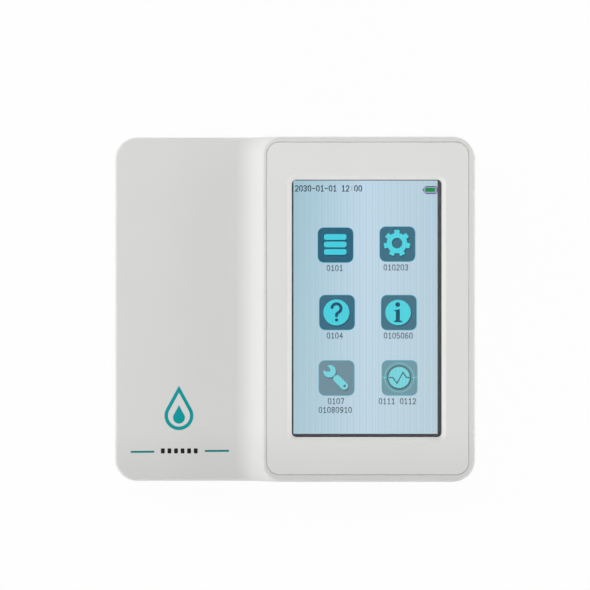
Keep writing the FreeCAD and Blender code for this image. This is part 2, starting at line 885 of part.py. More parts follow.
def make_lcd_glass():
    return module_slab(0, touch_bottom - lcd_glass_thickness, touch_bottom)


def make_lcd_backlight():
    return module_slab(0, lcd_bottom, touch_bottom - lcd_glass_thickness)


def make_screen_gasket():
    width, height = window_width + 2 * gasket_lap, window_height + 2 * gasket_lap
    inside = block_at(display_x, display_y, width, height, gasket_bottom - overrun, bezel_seat + overrun)
    return module_slab(0, gasket_bottom, bezel_seat).cut(inside)


def make_display_foam():
    inside = module_slab(-foam_width, foam_bottom - overrun, lcd_bottom + overrun)
    return module_slab(0, foam_bottom, lcd_bottom).cut(inside)


def make_display_bracket():
    """A stamped plate with stiffening slots and a tab at each screw."""
    plate = module_slab(bracket_margin, bracket_bottom, foam_bottom)
    tabs = []
    for x, y in display_screw_places:
        outward = small_boss if y > display_y else -small_boss
        low, high = sorted((display_y, y + outward))
        tabs.append(box(x - bracket_tab, x + bracket_tab, low, high, bracket_bottom, foam_bottom))
    plate = fuse([plate] + tabs)
    holes = bores(display_screw_places, bracket_bottom - overrun, foam_bottom + overrun)
    pitch = module_width / (bracket_slots + 1)
    for i in range(1, bracket_slots + 1):
        x = module_left + i * pitch
        holes.append(slab(
            x - bracket_slot / 2, x + bracket_slot / 2,
            module_front + bracket_slot_end, module_back - bracket_slot_end,
            bracket_bottom - overrun, foam_bottom + overrun, bracket_slot / 3,
        ))
    return plate.cut(holes)


def make_display_screws():
    reach = bracket_thickness + display_screw_reach
    return small_screws(display_screw_places, bracket_bottom, reach, up=True)


def rack_positions():
    """The places of the rack's teeth: the gear's tooth at gear_y faces a gap of the rack."""
    first_y = gear_y - rack_end_run
    count = int((tray_back_y - first_y) / rack_pitch)
    start = math.ceil((first_y - gear_y) / rack_pitch - 0.5) + 0.5
    return [gear_y + (start + i) * rack_pitch for i in range(count)]


def rack_teeth():
    tip_x = rack_pitch_x + rack_module
    half_pitch_line = rack_pitch / 4 - tooth_backlash / 2
    at_root = half_pitch_line + (rack_pitch_x - rack_root_x) * math.tan(pressure_angle)
    at_tip = half_pitch_line - rack_module * math.tan(pressure_angle)
    teeth = []
    for y in rack_positions():
        points = [
            V(rack_root_x - fit_gap, y - at_root, rack_bottom),
            V(rack_root_x, y - at_root, rack_bottom),
            V(tip_x, y - at_tip, rack_bottom),
            V(tip_x, y + at_tip, rack_bottom),
            V(rack_root_x, y + at_root, rack_bottom),
            V(rack_root_x - fit_gap, y + at_root, rack_bottom),
        ]
        teeth.append(Part.Face(Part.makePolygon(points + points[:1])).extrude(V(0, 0, rack_face)))
    return teeth


def pocket_edges(shrink):
    """The tray pocket's low and high X and Y, moved in by shrink."""
    half = tray_side - pocket_wall - shrink
    end = pocket_end + shrink
    return tray_x - half, tray_x + half, tray_front_y + end, tray_back_y - end


def pegs(y0, grow):
    """The two pegs that join the front panel to the tray, or their holes when grown."""
    z = tray_bottom + pocket_floor / 2
    y1 = tray_front_y + peg_length + grow
    spread = tray_side - peg_inset
    return [rod_y(tray_x + side * spread, z, y0, y1, peg_radius + grow) for side in (-1, 1)]


def make_strip_tray():
    y0, y1 = tray_front_y, tray_back_y
    body = box(tray_x - tray_side, tray_x + tray_side, y0, y1, tray_bottom, tray_top)
    runner_top = tray_bottom + runner_height
    runners = box(tray_x - runner_side, tray_x + runner_side, y0, y1, tray_bottom, runner_top)
    bar = box(tray_x, rack_root_x, gear_y - rack_end_run, y1, rack_bottom, rack_top)
    flag_bottom = floor_top + sensor_pad + sensor_base + flag_rise
    flag = box(
        tray_x - flag_thickness / 2, tray_x + flag_thickness / 2,
        y1 - flag_thickness, y1 + flag_length, flag_bottom, flag_bottom + flag_height,
    )
    tray = fuse([body, runners, bar, flag] + rack_teeth())
    pocket = slab(*pocket_edges(0), tray_bottom + pocket_floor, tray_top + overrun, pocket_wall)
    return tray.cut([pocket] + pegs(tray_front_y - overrun, fit_gap))


def make_tray_front():
    """The tray's front panel, flush with the case, with a finger recess and two pegs into the tray."""
    half = front_width / 2
    top = split_height - front_gap
    plate = box(tray_x - half, tray_x + half, y_front, tray_front_y, top - front_height, top)
    outer = [e for e in plate.Edges if e.BoundBox.YMax < y_front + 1e-4]
    plate = plate.makeFillet(front_round, outer)
    middle = top - front_height / 2
    reach = pull_length / 2 - pull_radius
    y0, y1 = y_front - overrun, y_front + pull_depth
    recess = [rod_y(tray_x + side * reach, middle, y0, y1, pull_radius) for side in (-1, 1)]
    recess.append(box(tray_x - reach, tray_x + reach, y0, y1, middle - pull_radius, middle + pull_radius))
    return fuse([plate] + pegs(tray_front_y - fit_gap, 0)).cut(recess).removeSplitter()


def tile_edges(grow):
    """The white tile's low and high X and Y: it lies under the optics when the tray is fully out."""
    tile_y = head_y + tray_travel
    half_x, half_y = tile_width / 2 + grow, tile_length / 2 + grow
    return tray_x - half_x, tray_x + half_x, tile_y - half_y, tile_y + half_y


def make_strip_holder():
    """The lift-out insert: a drip trough with the strip's groove in its floor, and the tile's seat."""
    x0, x1, y0, y1 = pocket_edges(fit_gap)
    top = tray_top - holder_drop
    block = slab(x0, x1, y0, y1, tray_bottom + pocket_floor, top, pocket_wall - fit_gap)
    start = y0 + trough_start
    end = tile_edges(0)[2] - trough_tile_gap
    trough_bottom = top - trough_depth
    wide, narrow = tray_side - pocket_wall - trough_side, groove_width / 2
    corner = pocket_wall - fit_gap
    trough = slab(tray_x - wide, tray_x + wide, start, end, trough_bottom, top + overrun, corner)
    floor = trough_bottom - groove_depth
    groove = box(tray_x - narrow, tray_x + narrow, start, end, floor, trough_bottom + overrun)
    seat = box(*tile_edges(fit_gap), top - tile_thickness, top + overrun)
    return block.cut([trough, groove, seat])


def make_calibration_tile():
    top = tray_top - holder_drop
    return box(*tile_edges(0), top - tile_thickness, top)


def make_tray_guide():
    """The channel that holds the tray down by its runners, with four screw ears."""
    y0, y1 = guide_front_y - overrun, guide_back_y + overrun
    throat = guide_inner - guide_lip_reach
    base = box(
        tray_x - guide_outer, tray_x + guide_outer, guide_front_y, guide_back_y, guide_bottom, guide_lip_top)
    room = box(tray_x - guide_inner, tray_x + guide_inner, y0, y1, guide_top, guide_lip_bottom)
    mouth = box(tray_x - throat, tray_x + throat, y0, y1, guide_top, guide_lip_top + overrun)
    ears = []
    for x, y in guide_ear_places:
        low, high = sorted((x, tray_x + (guide_outer - guide_wall / 2) * (1 if x > tray_x else -1)))
        ears.append(post(x, y, guide_bottom, guide_top, guide_ear))
        ears.append(box(low, high, y - guide_ear, y + guide_ear, guide_bottom, guide_top))
    channel = fuse([base.cut([room, mouth])] + ears)
    return channel.cut(bores(guide_ear_places, guide_bottom - overrun, guide_top + overrun))


def make_guide_screws():
    reach = guide_top - foot_lift - wall / 2 - fit_gap
    return small_screws(guide_ear_places, guide_top, reach)


def make_compound_gear():
    """The pinion on the rack and the large gear over it, in one piece, its bore running on the pin."""
    pinion = gear_wheel(gear_x, gear_y, rack_bottom, rack_top, rack_module, rack_pinion_teeth, 0)
    hub = post(gear_x, gear_y, rack_bottom, big_gear_top, gear_hub)
    wheel = gear_wheel(gear_x, gear_y, big_gear_bottom, big_gear_top, drive_module, big_gear_teeth, 0)
    web_outer = drive_module * (big_gear_teeth / 2 - 3)
    web = post(gear_x, gear_y, big_gear_top - web_depth, big_gear_top + overrun, web_outer)
    web = web.cut(post(gear_x, gear_y, big_gear_bottom, big_gear_top + 2 * overrun, gear_hub))
    whole = pinion.fuse([hub, wheel.cut(web)]).removeSplitter()
    bore = gear_pin_radius + shaft_gap
    return whole.cut(post(gear_x, gear_y, rack_bottom - overrun, big_gear_top + overrun, bore))


def make_gear_pin():
    top = big_gear_top + gear_end_play + 1.5 * gear_clip_thickness
    return post(gear_x, gear_y, foot_lift + wall / 2, top, gear_pin_radius)


def make_gear_clip():
    """A spring clip, open on one side."""
    z0 = big_gear_top + gear_end_play
    z1 = z0 + gear_clip_thickness
    half = gear_pin_radius * clip_mouth_share
    ring = post(gear_x, gear_y, z0, z1, gear_clip_radius)
    mouth = box(gear_x, gear_x + gear_clip_radius, gear_y - half, gear_y + half, z0 - overrun, z1 + overrun)
    return ring.cut([post(gear_x, gear_y, z0 - overrun, z1 + overrun, gear_pin_radius), mouth])


def make_motor_pinion():
    """The fine pinion pressed on the motor's shaft: a gap of it faces a tooth of the large gear."""
    phase = math.pi / motor_pinion_teeth
    wheel = gear_wheel(
        motor_x, motor_y, big_gear_bottom - motor_pinion_extra, big_gear_top + motor_pinion_extra,
        drive_module, motor_pinion_teeth, phase,
    )
    return wheel.cut(post(motor_x, motor_y, motor_top, big_gear_top + overrun, motor_shaft_radius))


def make_motor_shaft():
    top = big_gear_top + motor_pinion_extra + motor_shaft_above
    return post(motor_x, motor_y, motor_top - motor_shaft_inside, top, motor_shaft_radius)


def make_stepper_motor():
    can = post(motor_x, motor_y, motor_bottom, motor_top, motor_radius)
    can = round_level(can, motor_bottom, foot_round)
    collar = post(motor_x, motor_y, motor_top - fit_gap, motor_top + motor_collar_height, motor_collar)
    ears = posts(motor_ear_places, motor_top - motor_flange, motor_top, motor_ear)
    bar = block_at(0, 0, 2 * motor_ear_offset, 2 * motor_ear, motor_top - motor_flange, motor_top)
    bar.rotate(V(0, 0, 0), V(0, 0, 1), math.degrees(motor_ear_angle))
    bar.translate(V(motor_x, motor_y, 0))
    whole = fuse([can, collar, bar] + ears)
    holes = bores(motor_ear_places, motor_bottom, motor_top + overrun)
    bore_bottom = motor_top - motor_shaft_inside - slide_gap
    holes.append(post(motor_x, motor_y, bore_bottom, big_gear_top, motor_shaft_radius + shaft_gap))
    return whole.cut(holes)


def make_motor_screws():
    reach = case_bore_depth / 2
    return small_screws(motor_ear_places, motor_top, reach)


def head_box(grow, z0, z1):
    half_w, half_d = head_width / 2 + grow, head_depth / 2 + grow
    return box(tray_x - half_w, tray_x + half_w, head_y - half_d, head_y + half_d, z0, z1)


head_screw_places = [
    (tray_x + sx * (head_width + head_flange_out) / 2, head_y + sy * head_screw_spread)
    for sx, sy in corners
]
optics_screw_places = [(tray_x, head_y + side * optics_screw_y) for side in (-1, 1)]
light_places = [(tray_x + sx * light_bore_x, head_y + sy * light_bore_y) for sx, sy in corners]


def make_optics_bridge():
    """The plate that carries the optical head over the tray, on three posts of the lower case."""
    left = leg_left_x - bridge_leg
    right = tray_x + head_width / 2 + head_flange_out + bridge_margin
    front = y_front + bridge_front_leg - bridge_leg
    back = y_front + bridge_rear_leg + bridge_leg
    plate = slab(left, right, front, back, bridge_bottom, bridge_top, bridge_leg)
    arm = box(left + bridge_leg, leg_right_x, front, front + 2 * bridge_leg, bridge_bottom, bridge_top)
    end = post(leg_right_x, front + bridge_leg, bridge_bottom, bridge_top, bridge_leg)
    plate = fuse([plate, arm, end])
    holes = bores(bridge_leg_places + head_screw_places, bridge_bottom - overrun, bridge_top + overrun)
    holes.append(head_box(bridge_gap, bridge_bottom - overrun, bridge_top + overrun))
    return plate.cut(holes)


def make_bridge_screws():
    reach = bridge_thickness + bridge_screw_bite - fit_gap
    return small_screws(bridge_leg_places, bridge_top, reach)


def make_optical_head():
    """The moulded block that holds the lens, four light shafts and the light sensor's pocket."""
    stem = head_box(0, head_bottom, bridge_top + fit_gap)
    flange_w = head_width / 2 + head_flange_out
    flange = slab(
        tray_x - flange_w, tray_x + flange_w, head_y - head_depth / 2, head_y + head_depth / 2,
        bridge_top, bridge_top + head_flange, small_head,
    )
    tower = head_box(0, bridge_top + head_flange - fit_gap, head_top)
    head = fuse([stem, flange, tower])
    seat = head_bottom + lens_thickness
    cuts = [
        post(tray_x, head_y, head_bottom - overrun, seat, lens_radius + fit_gap),
        post(tray_x, head_y, head_bottom - overrun, head_top + overrun, lens_radius - lens_lip),
    ]
    side = photodiode_side + 2 * fit_gap
    diode_floor = head_top - photodiode_height - fit_gap
    cuts.append(block_at(tray_x, head_y, side, side, diode_floor, head_top + overrun))
    cuts += posts(light_places, head_bottom - overrun, head_top + overrun, light_bore)
    cuts += bores(head_screw_places, bridge_bottom, head_top)
    cuts += bores(optics_screw_places, head_top - head_tower, head_top + overrun)
    return head.cut(cuts)


def make_head_screws():
    seat = bridge_top + head_flange
    reach = head_flange + bridge_thickness - fit_gap
    return small_screws(head_screw_places, seat, reach)


def make_focusing_lens():
    """A plano-convex lens, flat side up against its seat."""
    seat = head_bottom + lens_thickness
    disc = post(tray_x, head_y, head_bottom, seat, lens_radius)
    ball_radius = (lens_radius ** 2 + lens_lip ** 2) / lens_lip / 2
    ball = Part.makeSphere(ball_radius, V(tray_x, head_y, head_bottom + ball_radius))
    return disc.common(ball)


def make_optics_board():
    board = head_box(0, head_top, head_top + optics_board_thickness)
    return board.cut(bores(optics_screw_places, head_top - overrun, head_top + 2 * overrun))


def make_optics_screws():
    reach = optics_board_thickness + head_tower - small_head_height
    return small_screws(optics_screw_places, head_top + optics_board_thickness, reach)


def make_light_sources():
    lamps = []
    for x, y in light_places:
        body = post(x, y, head_top - led_height, head_top, led_radius)
        dome = Part.makeSphere(led_radius, V(x, y, head_top - led_height + led_radius))
        stem = post(x, y, head_top - led_height + led_radius, head_top, led_radius)
        lamps.append(body.common(fuse([stem, dome])))
    return group(lamps)


def make_photodiode():
    side = photodiode_side
    return block_at(tray_x, head_y, side, side, head_top - photodiode_height, head_top)


def make_home_sensor():
    """A slotted light barrier that the tray's flag enters when the tray is shut."""
    bottom = floor_top + sensor_pad
    back = inner_back - sensor_rear_gap
    half_w = sensor_width / 2
    block = box(tray_x - half_w, tray_x + half_w, back - sensor_depth, back, bottom, bottom + sensor_height)
    slot = box(
        tray_x - sensor_slot / 2, tray_x + sensor_slot / 2, back - sensor_depth - overrun, back + overrun,
        bottom + sensor_base, bottom + sensor_height + overrun,
    )
    return block.cut(slot)


def board_box(grow, z0, z1):
    return box(board_left - grow, board_right + grow, board_front_y - grow, board_back_y + grow, z0, z1)


def make_main_board():
    board = board_box(0, board_height, board_top)
    return board.cut(bores(board_post_places, board_height - overrun, board_top + overrun))


def make_board_screws():
    reach = board_thickness + case_bore_depth / 2
    return small_screws(board_post_places, board_top, reach)


def board_place(place_shares):
    """The point at two shares of the board's width and depth."""
    x = board_left + place_shares[0] * board_width
    return x, board_front_y + place_shares[1] * (board_back_y - board_front_y)


def on_board(place_shares, width, depth, height):
    return block_at(*board_place(place_shares), width, depth, board_top, board_top + height)


def make_board_chips():
    return group([on_board(*chip) for chip in board_chips])


def make_wireless_module():
    carrier = on_board(wireless_place_shares, wireless_width, wireless_depth, wireless_board)
    x, y = board_place(wireless_place_shares)
    width = wireless_width - 2 * wireless_rim
    depth = wireless_depth - wireless_antenna - 2 * wireless_rim
    can_top = board_top + wireless_board + wireless_can
    can = block_at(x, y - wireless_antenna / 2, width, depth, board_top, can_top)
    return fuse([carrier, can])


def make_buzzer():
    x, y = board_place(buzzer_place_shares)
    top = board_top + buzzer_height
    drum = post(x, y, board_top, top, buzzer_radius)
    return drum.cut(post(x, y, top - buzzer_height / 2, top + overrun, buzzer_hole))


def make_coin_cell():
    low = board_top + coin_lift
    return post(*board_place(cell_place_shares), low, low + coin_height, coin_radius)


def make_coin_cell_clip():
    """The sprung cradle under the coin cell, with a low wall on two sides."""
    x, y = board_place(cell_place_shares)
    middle = coin_radius + fit_gap + coin_lift / 2
    base = block_at(x, y, 2 * middle + coin_lift, coin_radius, board_top, board_top + coin_lift)
    top = board_top + coin_lift + coin_height / 2
    walls = [block_at(x + side * middle, y, coin_lift, coin_radius, board_top, top) for side in (-1, 1)]
    return fuse([base] + walls)


def make_usb_c_port():
    y1 = y_back - port_recess
    y0 = y1 - usb_c_depth
    w = usb_c_wall
    x0, x1 = usb_c_place - usb_c_width / 2, usb_c_place + usb_c_width / 2
    z0, z1 = board_top, board_top + usb_c_height
    shell = rounded_bar(x0, x1, z0, z1, y0, y1, usb_c_corner)
    inside = rounded_bar(x0 + w, x1 - w, z0 + w, z1 - w, y0 + 2 * w, y1 + overrun, usb_c_corner - w)
    middle = (z0 + z1) / 2
    half = usb_c_tongue / 2
    side = usb_c_height / 2
    tongue = box(x0 + side, x1 - side, y0 + w, y1 - usb_c_tongue, middle - half, middle + half)
    return fuse([shell.cut(inside), tongue])


def rounded_bar(x0, x1, z0, z1, y0, y1, corner):
    """A bar along Y whose section in XZ has rounded corners."""
    face = rounded_face(x0, x1, -z1, -z0, (corner,) * 4)
    face.rotate(V(0, 0, 0), V(1, 0, 0), -90)
    face.translate(V(0, y0, 0))
    return face.extrude(V(0, y1 - y0, 0))


def make_usb_a_port():
    y1 = y_back - port_recess
    y0 = y1 - usb_a_depth
    w = usb_a_wall
    x0, x1 = usb_a_place - usb_a_width / 2, usb_a_place + usb_a_width / 2
    z0, z1 = board_top, board_top + usb_a_height
    inside = box(x0 + w, x1 - w, y0 + 2 * w, y1 + overrun, z0 + w, z1 - w)
    shell = box(x0, x1, y0, y1, z0, z1).cut(inside)
    tongue = box(x0 + 2 * w, x1 - 2 * w, y0 + w, y1 - 2 * w, z1 - w - usb_a_tongue, z1 - 2 * w)
    return fuse([shell, tongue])


button_flange_back = inner_back - button_rest_gap
button_flange_front = button_flange_back - button_flange_thickness
button_stem_y = button_flange_front - button_stem_length


def make_power_button():
    """The round rear button: a dished cap, a flange that keeps it in the wall, and a stem."""
    x, z = button_place, button_z
    face_y = y_back - button_flush
    cap = rod_y(x, z, button_flange_front, face_y, button_radius)
    dish_radius = (button_radius ** 2 + button_dish ** 2) / button_dish / 2
    dish = Part.makeSphere(dish_radius, V(x, face_y + dish_radius - button_dish / 2, z))
    flange = rod_y(x, z, button_flange_front, button_flange_back, button_radius + button_flange)
    stem = rod_y(x, z, button_stem_y, button_flange_back, button_stem)
    return fuse([cap.cut(dish), flange, stem])


def make_switch_plunger():
    return rod_y(button_place, button_z, button_stem_y - plunger_length, button_stem_y, plunger_radius)


def make_power_switch():
    face_y = button_stem_y - plunger_length + plunger_inside
    middle_y = face_y - switch_depth / 2
    block = block_at(button_place, middle_y, switch_side, switch_depth, board_top, board_top + switch_side)
    bottom_y = face_y - plunger_inside - button_travel - fit_gap
    return block.cut(rod_y(button_place, button_z, bottom_y, face_y + overrun, plunger_radius + shaft_gap))


def make_battery_pack():
    """Two cells side by side in one shrink sleeve."""
    x0 = bay_x - battery_length / 2
    spread = battery_depth / 2 - cell_radius
    z = battery_bottom + cell_radius
    cells = [
        Part.makeCylinder(cell_radius, battery_length, V(x0, bay_center_y + side * spread, z), V(1, 0, 0))
        for side in (-1, 1)
    ]
    middle = block_at(bay_x, bay_center_y, battery_length, 2 * spread, battery_bottom, battery_top)
    return fuse([middle] + cells)


def hanging_socket(x, y, width, depth):
    """A connector on the underside of the main board."""
    return block_at(x, y, width, depth, board_height - socket_height, board_height)


def edge_socket(y, depth):
    """A connector on the board's left edge."""
    x = board_edge_socket + socket_depth / 2
    return block_at(x, y, socket_depth, depth, board_top, board_top + socket_height)


optics_socket_x = tray_x + (head_width - socket_depth) / 2
board_edge_socket = board_left + port_gap
front_socket = board_front_y + port_gap
sensor_lead_y = board_back_y - motor_lead_width / 2
motor_lead_x = motor_x + motor_radius + socket_depth
socket_mid = board_top + socket_height / 2


def make_board_sockets():
    """The connectors that the ribbons and leads plug into, the one on the optics board among them."""
    display_y0 = front_socket + socket_depth / 2
    display_width = display_ribbon_width + wall
    optics_width = optics_ribbon_width + wall
    optics_bottom = head_top + optics_board_thickness
    optics_top = optics_bottom + socket_height
    return group([
        block_at(display_x, display_y0, display_width, socket_depth, board_top, board_top + socket_height),
        edge_socket(head_y, optics_width),
        edge_socket(sensor_lead_y, motor_lead_width),
        hanging_socket(motor_lead_x, motor_y, socket_depth, motor_lead_width + wall),
        hanging_socket(bay_x, bay_center_y, battery_lead_width + wall, socket_depth),
        block_at(optics_socket_x, head_y, socket_depth, optics_width, optics_bottom, optics_top),
    ])


def make_display_ribbon():
    start_z = lcd_bottom + (lcd_thickness - lcd_glass_thickness) / 2
    out_y = module_front - 2 * ribbon_bend + ribbon_thickness
    points = [
        (module_front, start_z),
        (out_y, start_z),
        (out_y, socket_mid),
        (front_socket, socket_mid),
    ]
    return ribbon(points, display_x, display_ribbon_width, "yz")


def make_optics_ribbon():
    start_x = optics_socket_x + socket_depth / 2
    start_z = head_top + optics_board_thickness + socket_height / 2
    span = board_edge_socket - start_x
    points = [
        (start_x, start_z),
        (start_x + span * (1 - ribbon_slope_share) / 2, start_z),
        (start_x + span * (1 + ribbon_slope_share) / 2, socket_mid),
        (board_edge_socket, socket_mid),
    ]
    return ribbon(points, head_y, optics_ribbon_width, "xz")


def make_motor_lead():
    z = motor_bottom + motor_height / 2
    points = [
        (motor_x + motor_radius - fit_gap, z),
        (motor_lead_x, z),
        (motor_lead_x, board_height - socket_height),
    ]
    lead = ribbon(points, motor_y, motor_lead_width, "xz")
    return lead.cut(post(motor_x, motor_y, motor_bottom, motor_top, motor_radius))


def make_sensor_lead():
    z = floor_top + sensor_pad + sensor_base / 2
    rise_x = (guide_ear_places[-1][0] + board_left) / 2
    points = [
        (tray_x + sensor_width / 2, z),
        (rise_x, z),
        (rise_x, socket_mid),
        (board_edge_socket, socket_mid),
    ]
    return ribbon(points, sensor_lead_y, sensor_lead_width, "xz")


def make_battery_lead():
    top = board_height - socket_height
    return block_at(bay_x, bay_center_y, battery_lead_width, 2 * ribbon_thickness, battery_top, top)


def main():
    os.makedirs("parts", exist_ok=True)
    for name, make in PARTS.items():
        make().exportStep("parts/" + name + ".step")


PARTS = {
    "upper_case": make_upper_case,
    "lower_case": make_lower_case,
    "rubber_feet": make_rubber_feet,
    "case_screws": make_case_screws,
    "battery_door": make_battery_door,
    "battery_door_screws": make_door_screws,
    "screen_bezel": make_screen_bezel,
    "touch_panel": make_touch_panel,
    "lcd_glass": make_lcd_glass,
    "lcd_backlight": make_lcd_backlight,
    "screen_gasket": make_screen_gasket,
    "display_foam": make_display_foam,
    "display_bracket": make_display_bracket,
    "display_screws": make_display_screws,
    "display_ribbon": make_display_ribbon,
    "strip_tray": make_strip_tray,
    "tray_front": make_tray_front,
    "strip_holder": make_strip_holder,
    "calibration_tile": make_calibration_tile,
    "tray_guide": make_tray_guide,
    "tray_guide_screws": make_guide_screws,
    "compound_gear": make_compound_gear,
    "gear_pin": make_gear_pin,
    "gear_clip": make_gear_clip,
    "motor_pinion": make_motor_pinion,
    "motor_shaft": make_motor_shaft,
    "stepper_motor": make_stepper_motor,
    "motor_screws": make_motor_screws,
    "motor_lead": make_motor_lead,
    "home_sensor": make_home_sensor,
    "sensor_lead": make_sensor_lead,
    "optics_bridge": make_optics_bridge,
    "optics_bridge_screws": make_bridge_screws,
    "optical_head": make_optical_head,
    "optical_head_screws": make_head_screws,
    "focusing_lens": make_focusing_lens,
    "optics_board": make_optics_board,
    "optics_board_screws": make_optics_screws,
    "light_sources": make_light_sources,
    "photodiode": make_photodiode,
    "optics_ribbon": make_optics_ribbon,
    "main_board": make_main_board,
    "main_board_screws": make_board_screws,
    "main_board_chips": make_board_chips,
    "main_board_sockets": make_board_sockets,
    "wireless_module": make_wireless_module,
    "buzzer": make_buzzer,
    "coin_cell": make_coin_cell,
    "coin_cell_clip": make_coin_cell_clip,
    "usb_c_port": make_usb_c_port,
    "usb_a_port": make_usb_a_port,
    "power_button": make_power_button,
    "switch_plunger": make_switch_plunger,
    "power_switch": make_power_switch,
    "battery_pack": make_battery_pack,
    "battery_lead": make_battery_lead,
}

if __name__ == "__main__":
    main()
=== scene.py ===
"""Looks of the urine strip analyzer: finishes, lit screen, deck prints, seam, camera and light."""
import math

import bmesh
import bpy
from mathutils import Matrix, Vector
from mathutils.geometry import tessellate_polygon


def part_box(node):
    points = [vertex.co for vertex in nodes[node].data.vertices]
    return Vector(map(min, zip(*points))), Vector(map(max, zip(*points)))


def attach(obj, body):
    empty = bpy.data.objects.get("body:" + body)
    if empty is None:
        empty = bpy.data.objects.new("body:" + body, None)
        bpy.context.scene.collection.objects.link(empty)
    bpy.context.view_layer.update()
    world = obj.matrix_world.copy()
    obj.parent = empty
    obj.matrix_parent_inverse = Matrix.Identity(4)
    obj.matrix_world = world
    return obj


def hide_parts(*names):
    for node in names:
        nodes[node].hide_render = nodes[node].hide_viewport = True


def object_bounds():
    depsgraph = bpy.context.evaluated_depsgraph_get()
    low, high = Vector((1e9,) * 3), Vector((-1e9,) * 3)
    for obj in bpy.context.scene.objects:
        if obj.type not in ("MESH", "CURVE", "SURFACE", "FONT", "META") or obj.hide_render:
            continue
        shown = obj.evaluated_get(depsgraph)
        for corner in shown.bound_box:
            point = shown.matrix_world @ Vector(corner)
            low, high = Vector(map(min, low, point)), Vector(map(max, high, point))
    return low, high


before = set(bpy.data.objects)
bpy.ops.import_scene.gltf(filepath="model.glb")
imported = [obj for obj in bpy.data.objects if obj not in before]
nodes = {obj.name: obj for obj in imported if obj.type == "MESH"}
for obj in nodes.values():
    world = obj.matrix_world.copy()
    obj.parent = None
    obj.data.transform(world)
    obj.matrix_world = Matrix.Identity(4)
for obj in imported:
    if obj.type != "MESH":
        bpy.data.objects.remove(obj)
cad_low, cad_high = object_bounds()
mm = 0.001


# Colours, as sRGB values out of 255


def colour(red, green, blue):
    """The linear colour with full alpha of an sRGB one."""
    def linear(value):
        value /= 255
        return value / 12.92 if value <= 0.04045 else ((value + 0.055) / 1.055) ** 2.4

    return (linear(red), linear(green), linear(blue), 1.0)


def shade(base, factor):
    """The colour made darker or lighter by a factor."""
    return tuple(min(1.0, part * factor) for part in base[:3]) + (1.0,)


deck_white = colour(211, 211, 209)
dash_teal = colour(0, 122, 120)
drop_teal = colour(6, 150, 153)
print_black = colour(18, 19, 21)
screen_left = colour(157, 200, 211)
screen_middle = colour(194, 223, 237)
screen_right = colour(183, 213, 222)
screen_low = colour(191, 216, 219)
screen_border = colour(38, 40, 46)
rim_blue = colour(100, 184, 205)
mark_blue = colour(44, 84, 106)
pulse_grey = colour(74, 104, 112)
status_grey = colour(26, 36, 50)
menu_grey = colour(56, 62, 80)
battery_green = colour(27, 142, 63)
battery_rim = colour(58, 56, 92)
battery_pale = colour(156, 158, 205)
screen_veil = 0.02


# Node materials

# How far back from the front edge the painted shade reaches
front_shade_length = 20 * mm
board_track_pitch = 0.9
pixel_column = 1.19
column_beat = 2.33
pixel_row = 1.0


class Finish:
    """A node material being made. Its textures use object coordinates, which are the row frame in metres."""

    def __init__(self, name, **inputs):
        self.material = bpy.data.materials.new(name)
        self.material.use_nodes = True
        self.tree = self.material.node_tree
        self.shader = self.tree.nodes["Principled BSDF"]
        self.place = self.node("ShaderNodeTexCoord").outputs["Object"]
        self.set(**inputs)

    def node(self, kind, inputs=(), **settings):
        made = self.tree.nodes.new(kind)
        for key, value in settings.items():
            setattr(made, key, value)
        for key, value in dict(inputs).items():
            self.feed(made.inputs[key], value)
        return made

    def feed(self, socket, value):
        if isinstance(value, bpy.types.NodeSocket):
            self.tree.links.new(value, socket)
        else:
            socket.default_value = value

    def set(self, **inputs):
        """Gives the shader's inputs a constant or another node's output."""
        for key, value in inputs.items():
            self.feed(self.shader.inputs[key.replace("_", " ").title().replace("Ior", "IOR")], value)

    def scaled(self, stretch=(1, 1, 1)):
        """The place in millimetres, stretched along the axes."""
        return self.node(
            "ShaderNodeMapping", {"Vector": self.place, "Scale": [part / mm for part in stretch]}
        ).outputs[0]

    def noise(self, size, detail=3.0, stretch=(1, 1, 1)):
        """Noise from 0 to 1 with blobs of about that size in millimetres."""
        inputs = {"Vector": self.scaled(stretch), "Scale": 1 / size, "Detail": detail}
        return self.node("ShaderNodeTexNoise", inputs).outputs["Fac"]

    def cells(self, size, randomness=1.0):
        """The distance to the nearest of scattered points, about that size in millimetres apart."""
        inputs = {"Vector": self.scaled(), "Scale": 1 / size, "Randomness": randomness}
        return self.node("ShaderNodeTexVoronoi", inputs).outputs["Distance"]

    def stripes(self, pitch, direction):
        """Soft bands from 0 to 1 across one axis, by their pitch in millimetres."""
        inputs = {"Vector": self.scaled(), "Scale": math.pi / pitch / 10}
        return self.node("ShaderNodeTexWave", inputs, bands_direction=direction).outputs["Fac"]

    def between(self, value, low, high, to_low=0.0, to_high=1.0):
        """The value with low to high spread over another range, held at its ends."""
        limits = {"From Min": low, "From Max": high, "To Min": to_low, "To Max": to_high}
        return self.node("ShaderNodeMapRange", {"Value": value, **limits}).outputs[0]

    def math(self, operation, first, second=0.0):
        made = self.node("ShaderNodeMath", operation=operation)
        self.feed(made.inputs[0], first)
        self.feed(made.inputs[1], second)
        return made.outputs[0]

    def mix(self, share, first, second):
        made = self.node("ShaderNodeMix", {"Factor": share}, data_type="RGBA")
        self.feed(made.inputs[6], first)
        self.feed(made.inputs[7], second)
        return made.outputs[2]

    def axis(self, name):
        """One coordinate in metres."""
        return self.node("ShaderNodeSeparateXYZ", {"Vector": self.place}).outputs[name]

    def bump(self, height, depth):
        """Raises the surface by the height value times the depth in millimetres."""
        made = self.node("ShaderNodeBump", {"Height": height, "Distance": depth * mm, "Strength": 1.0})
        self.set(normal=made.outputs[0])
        return self


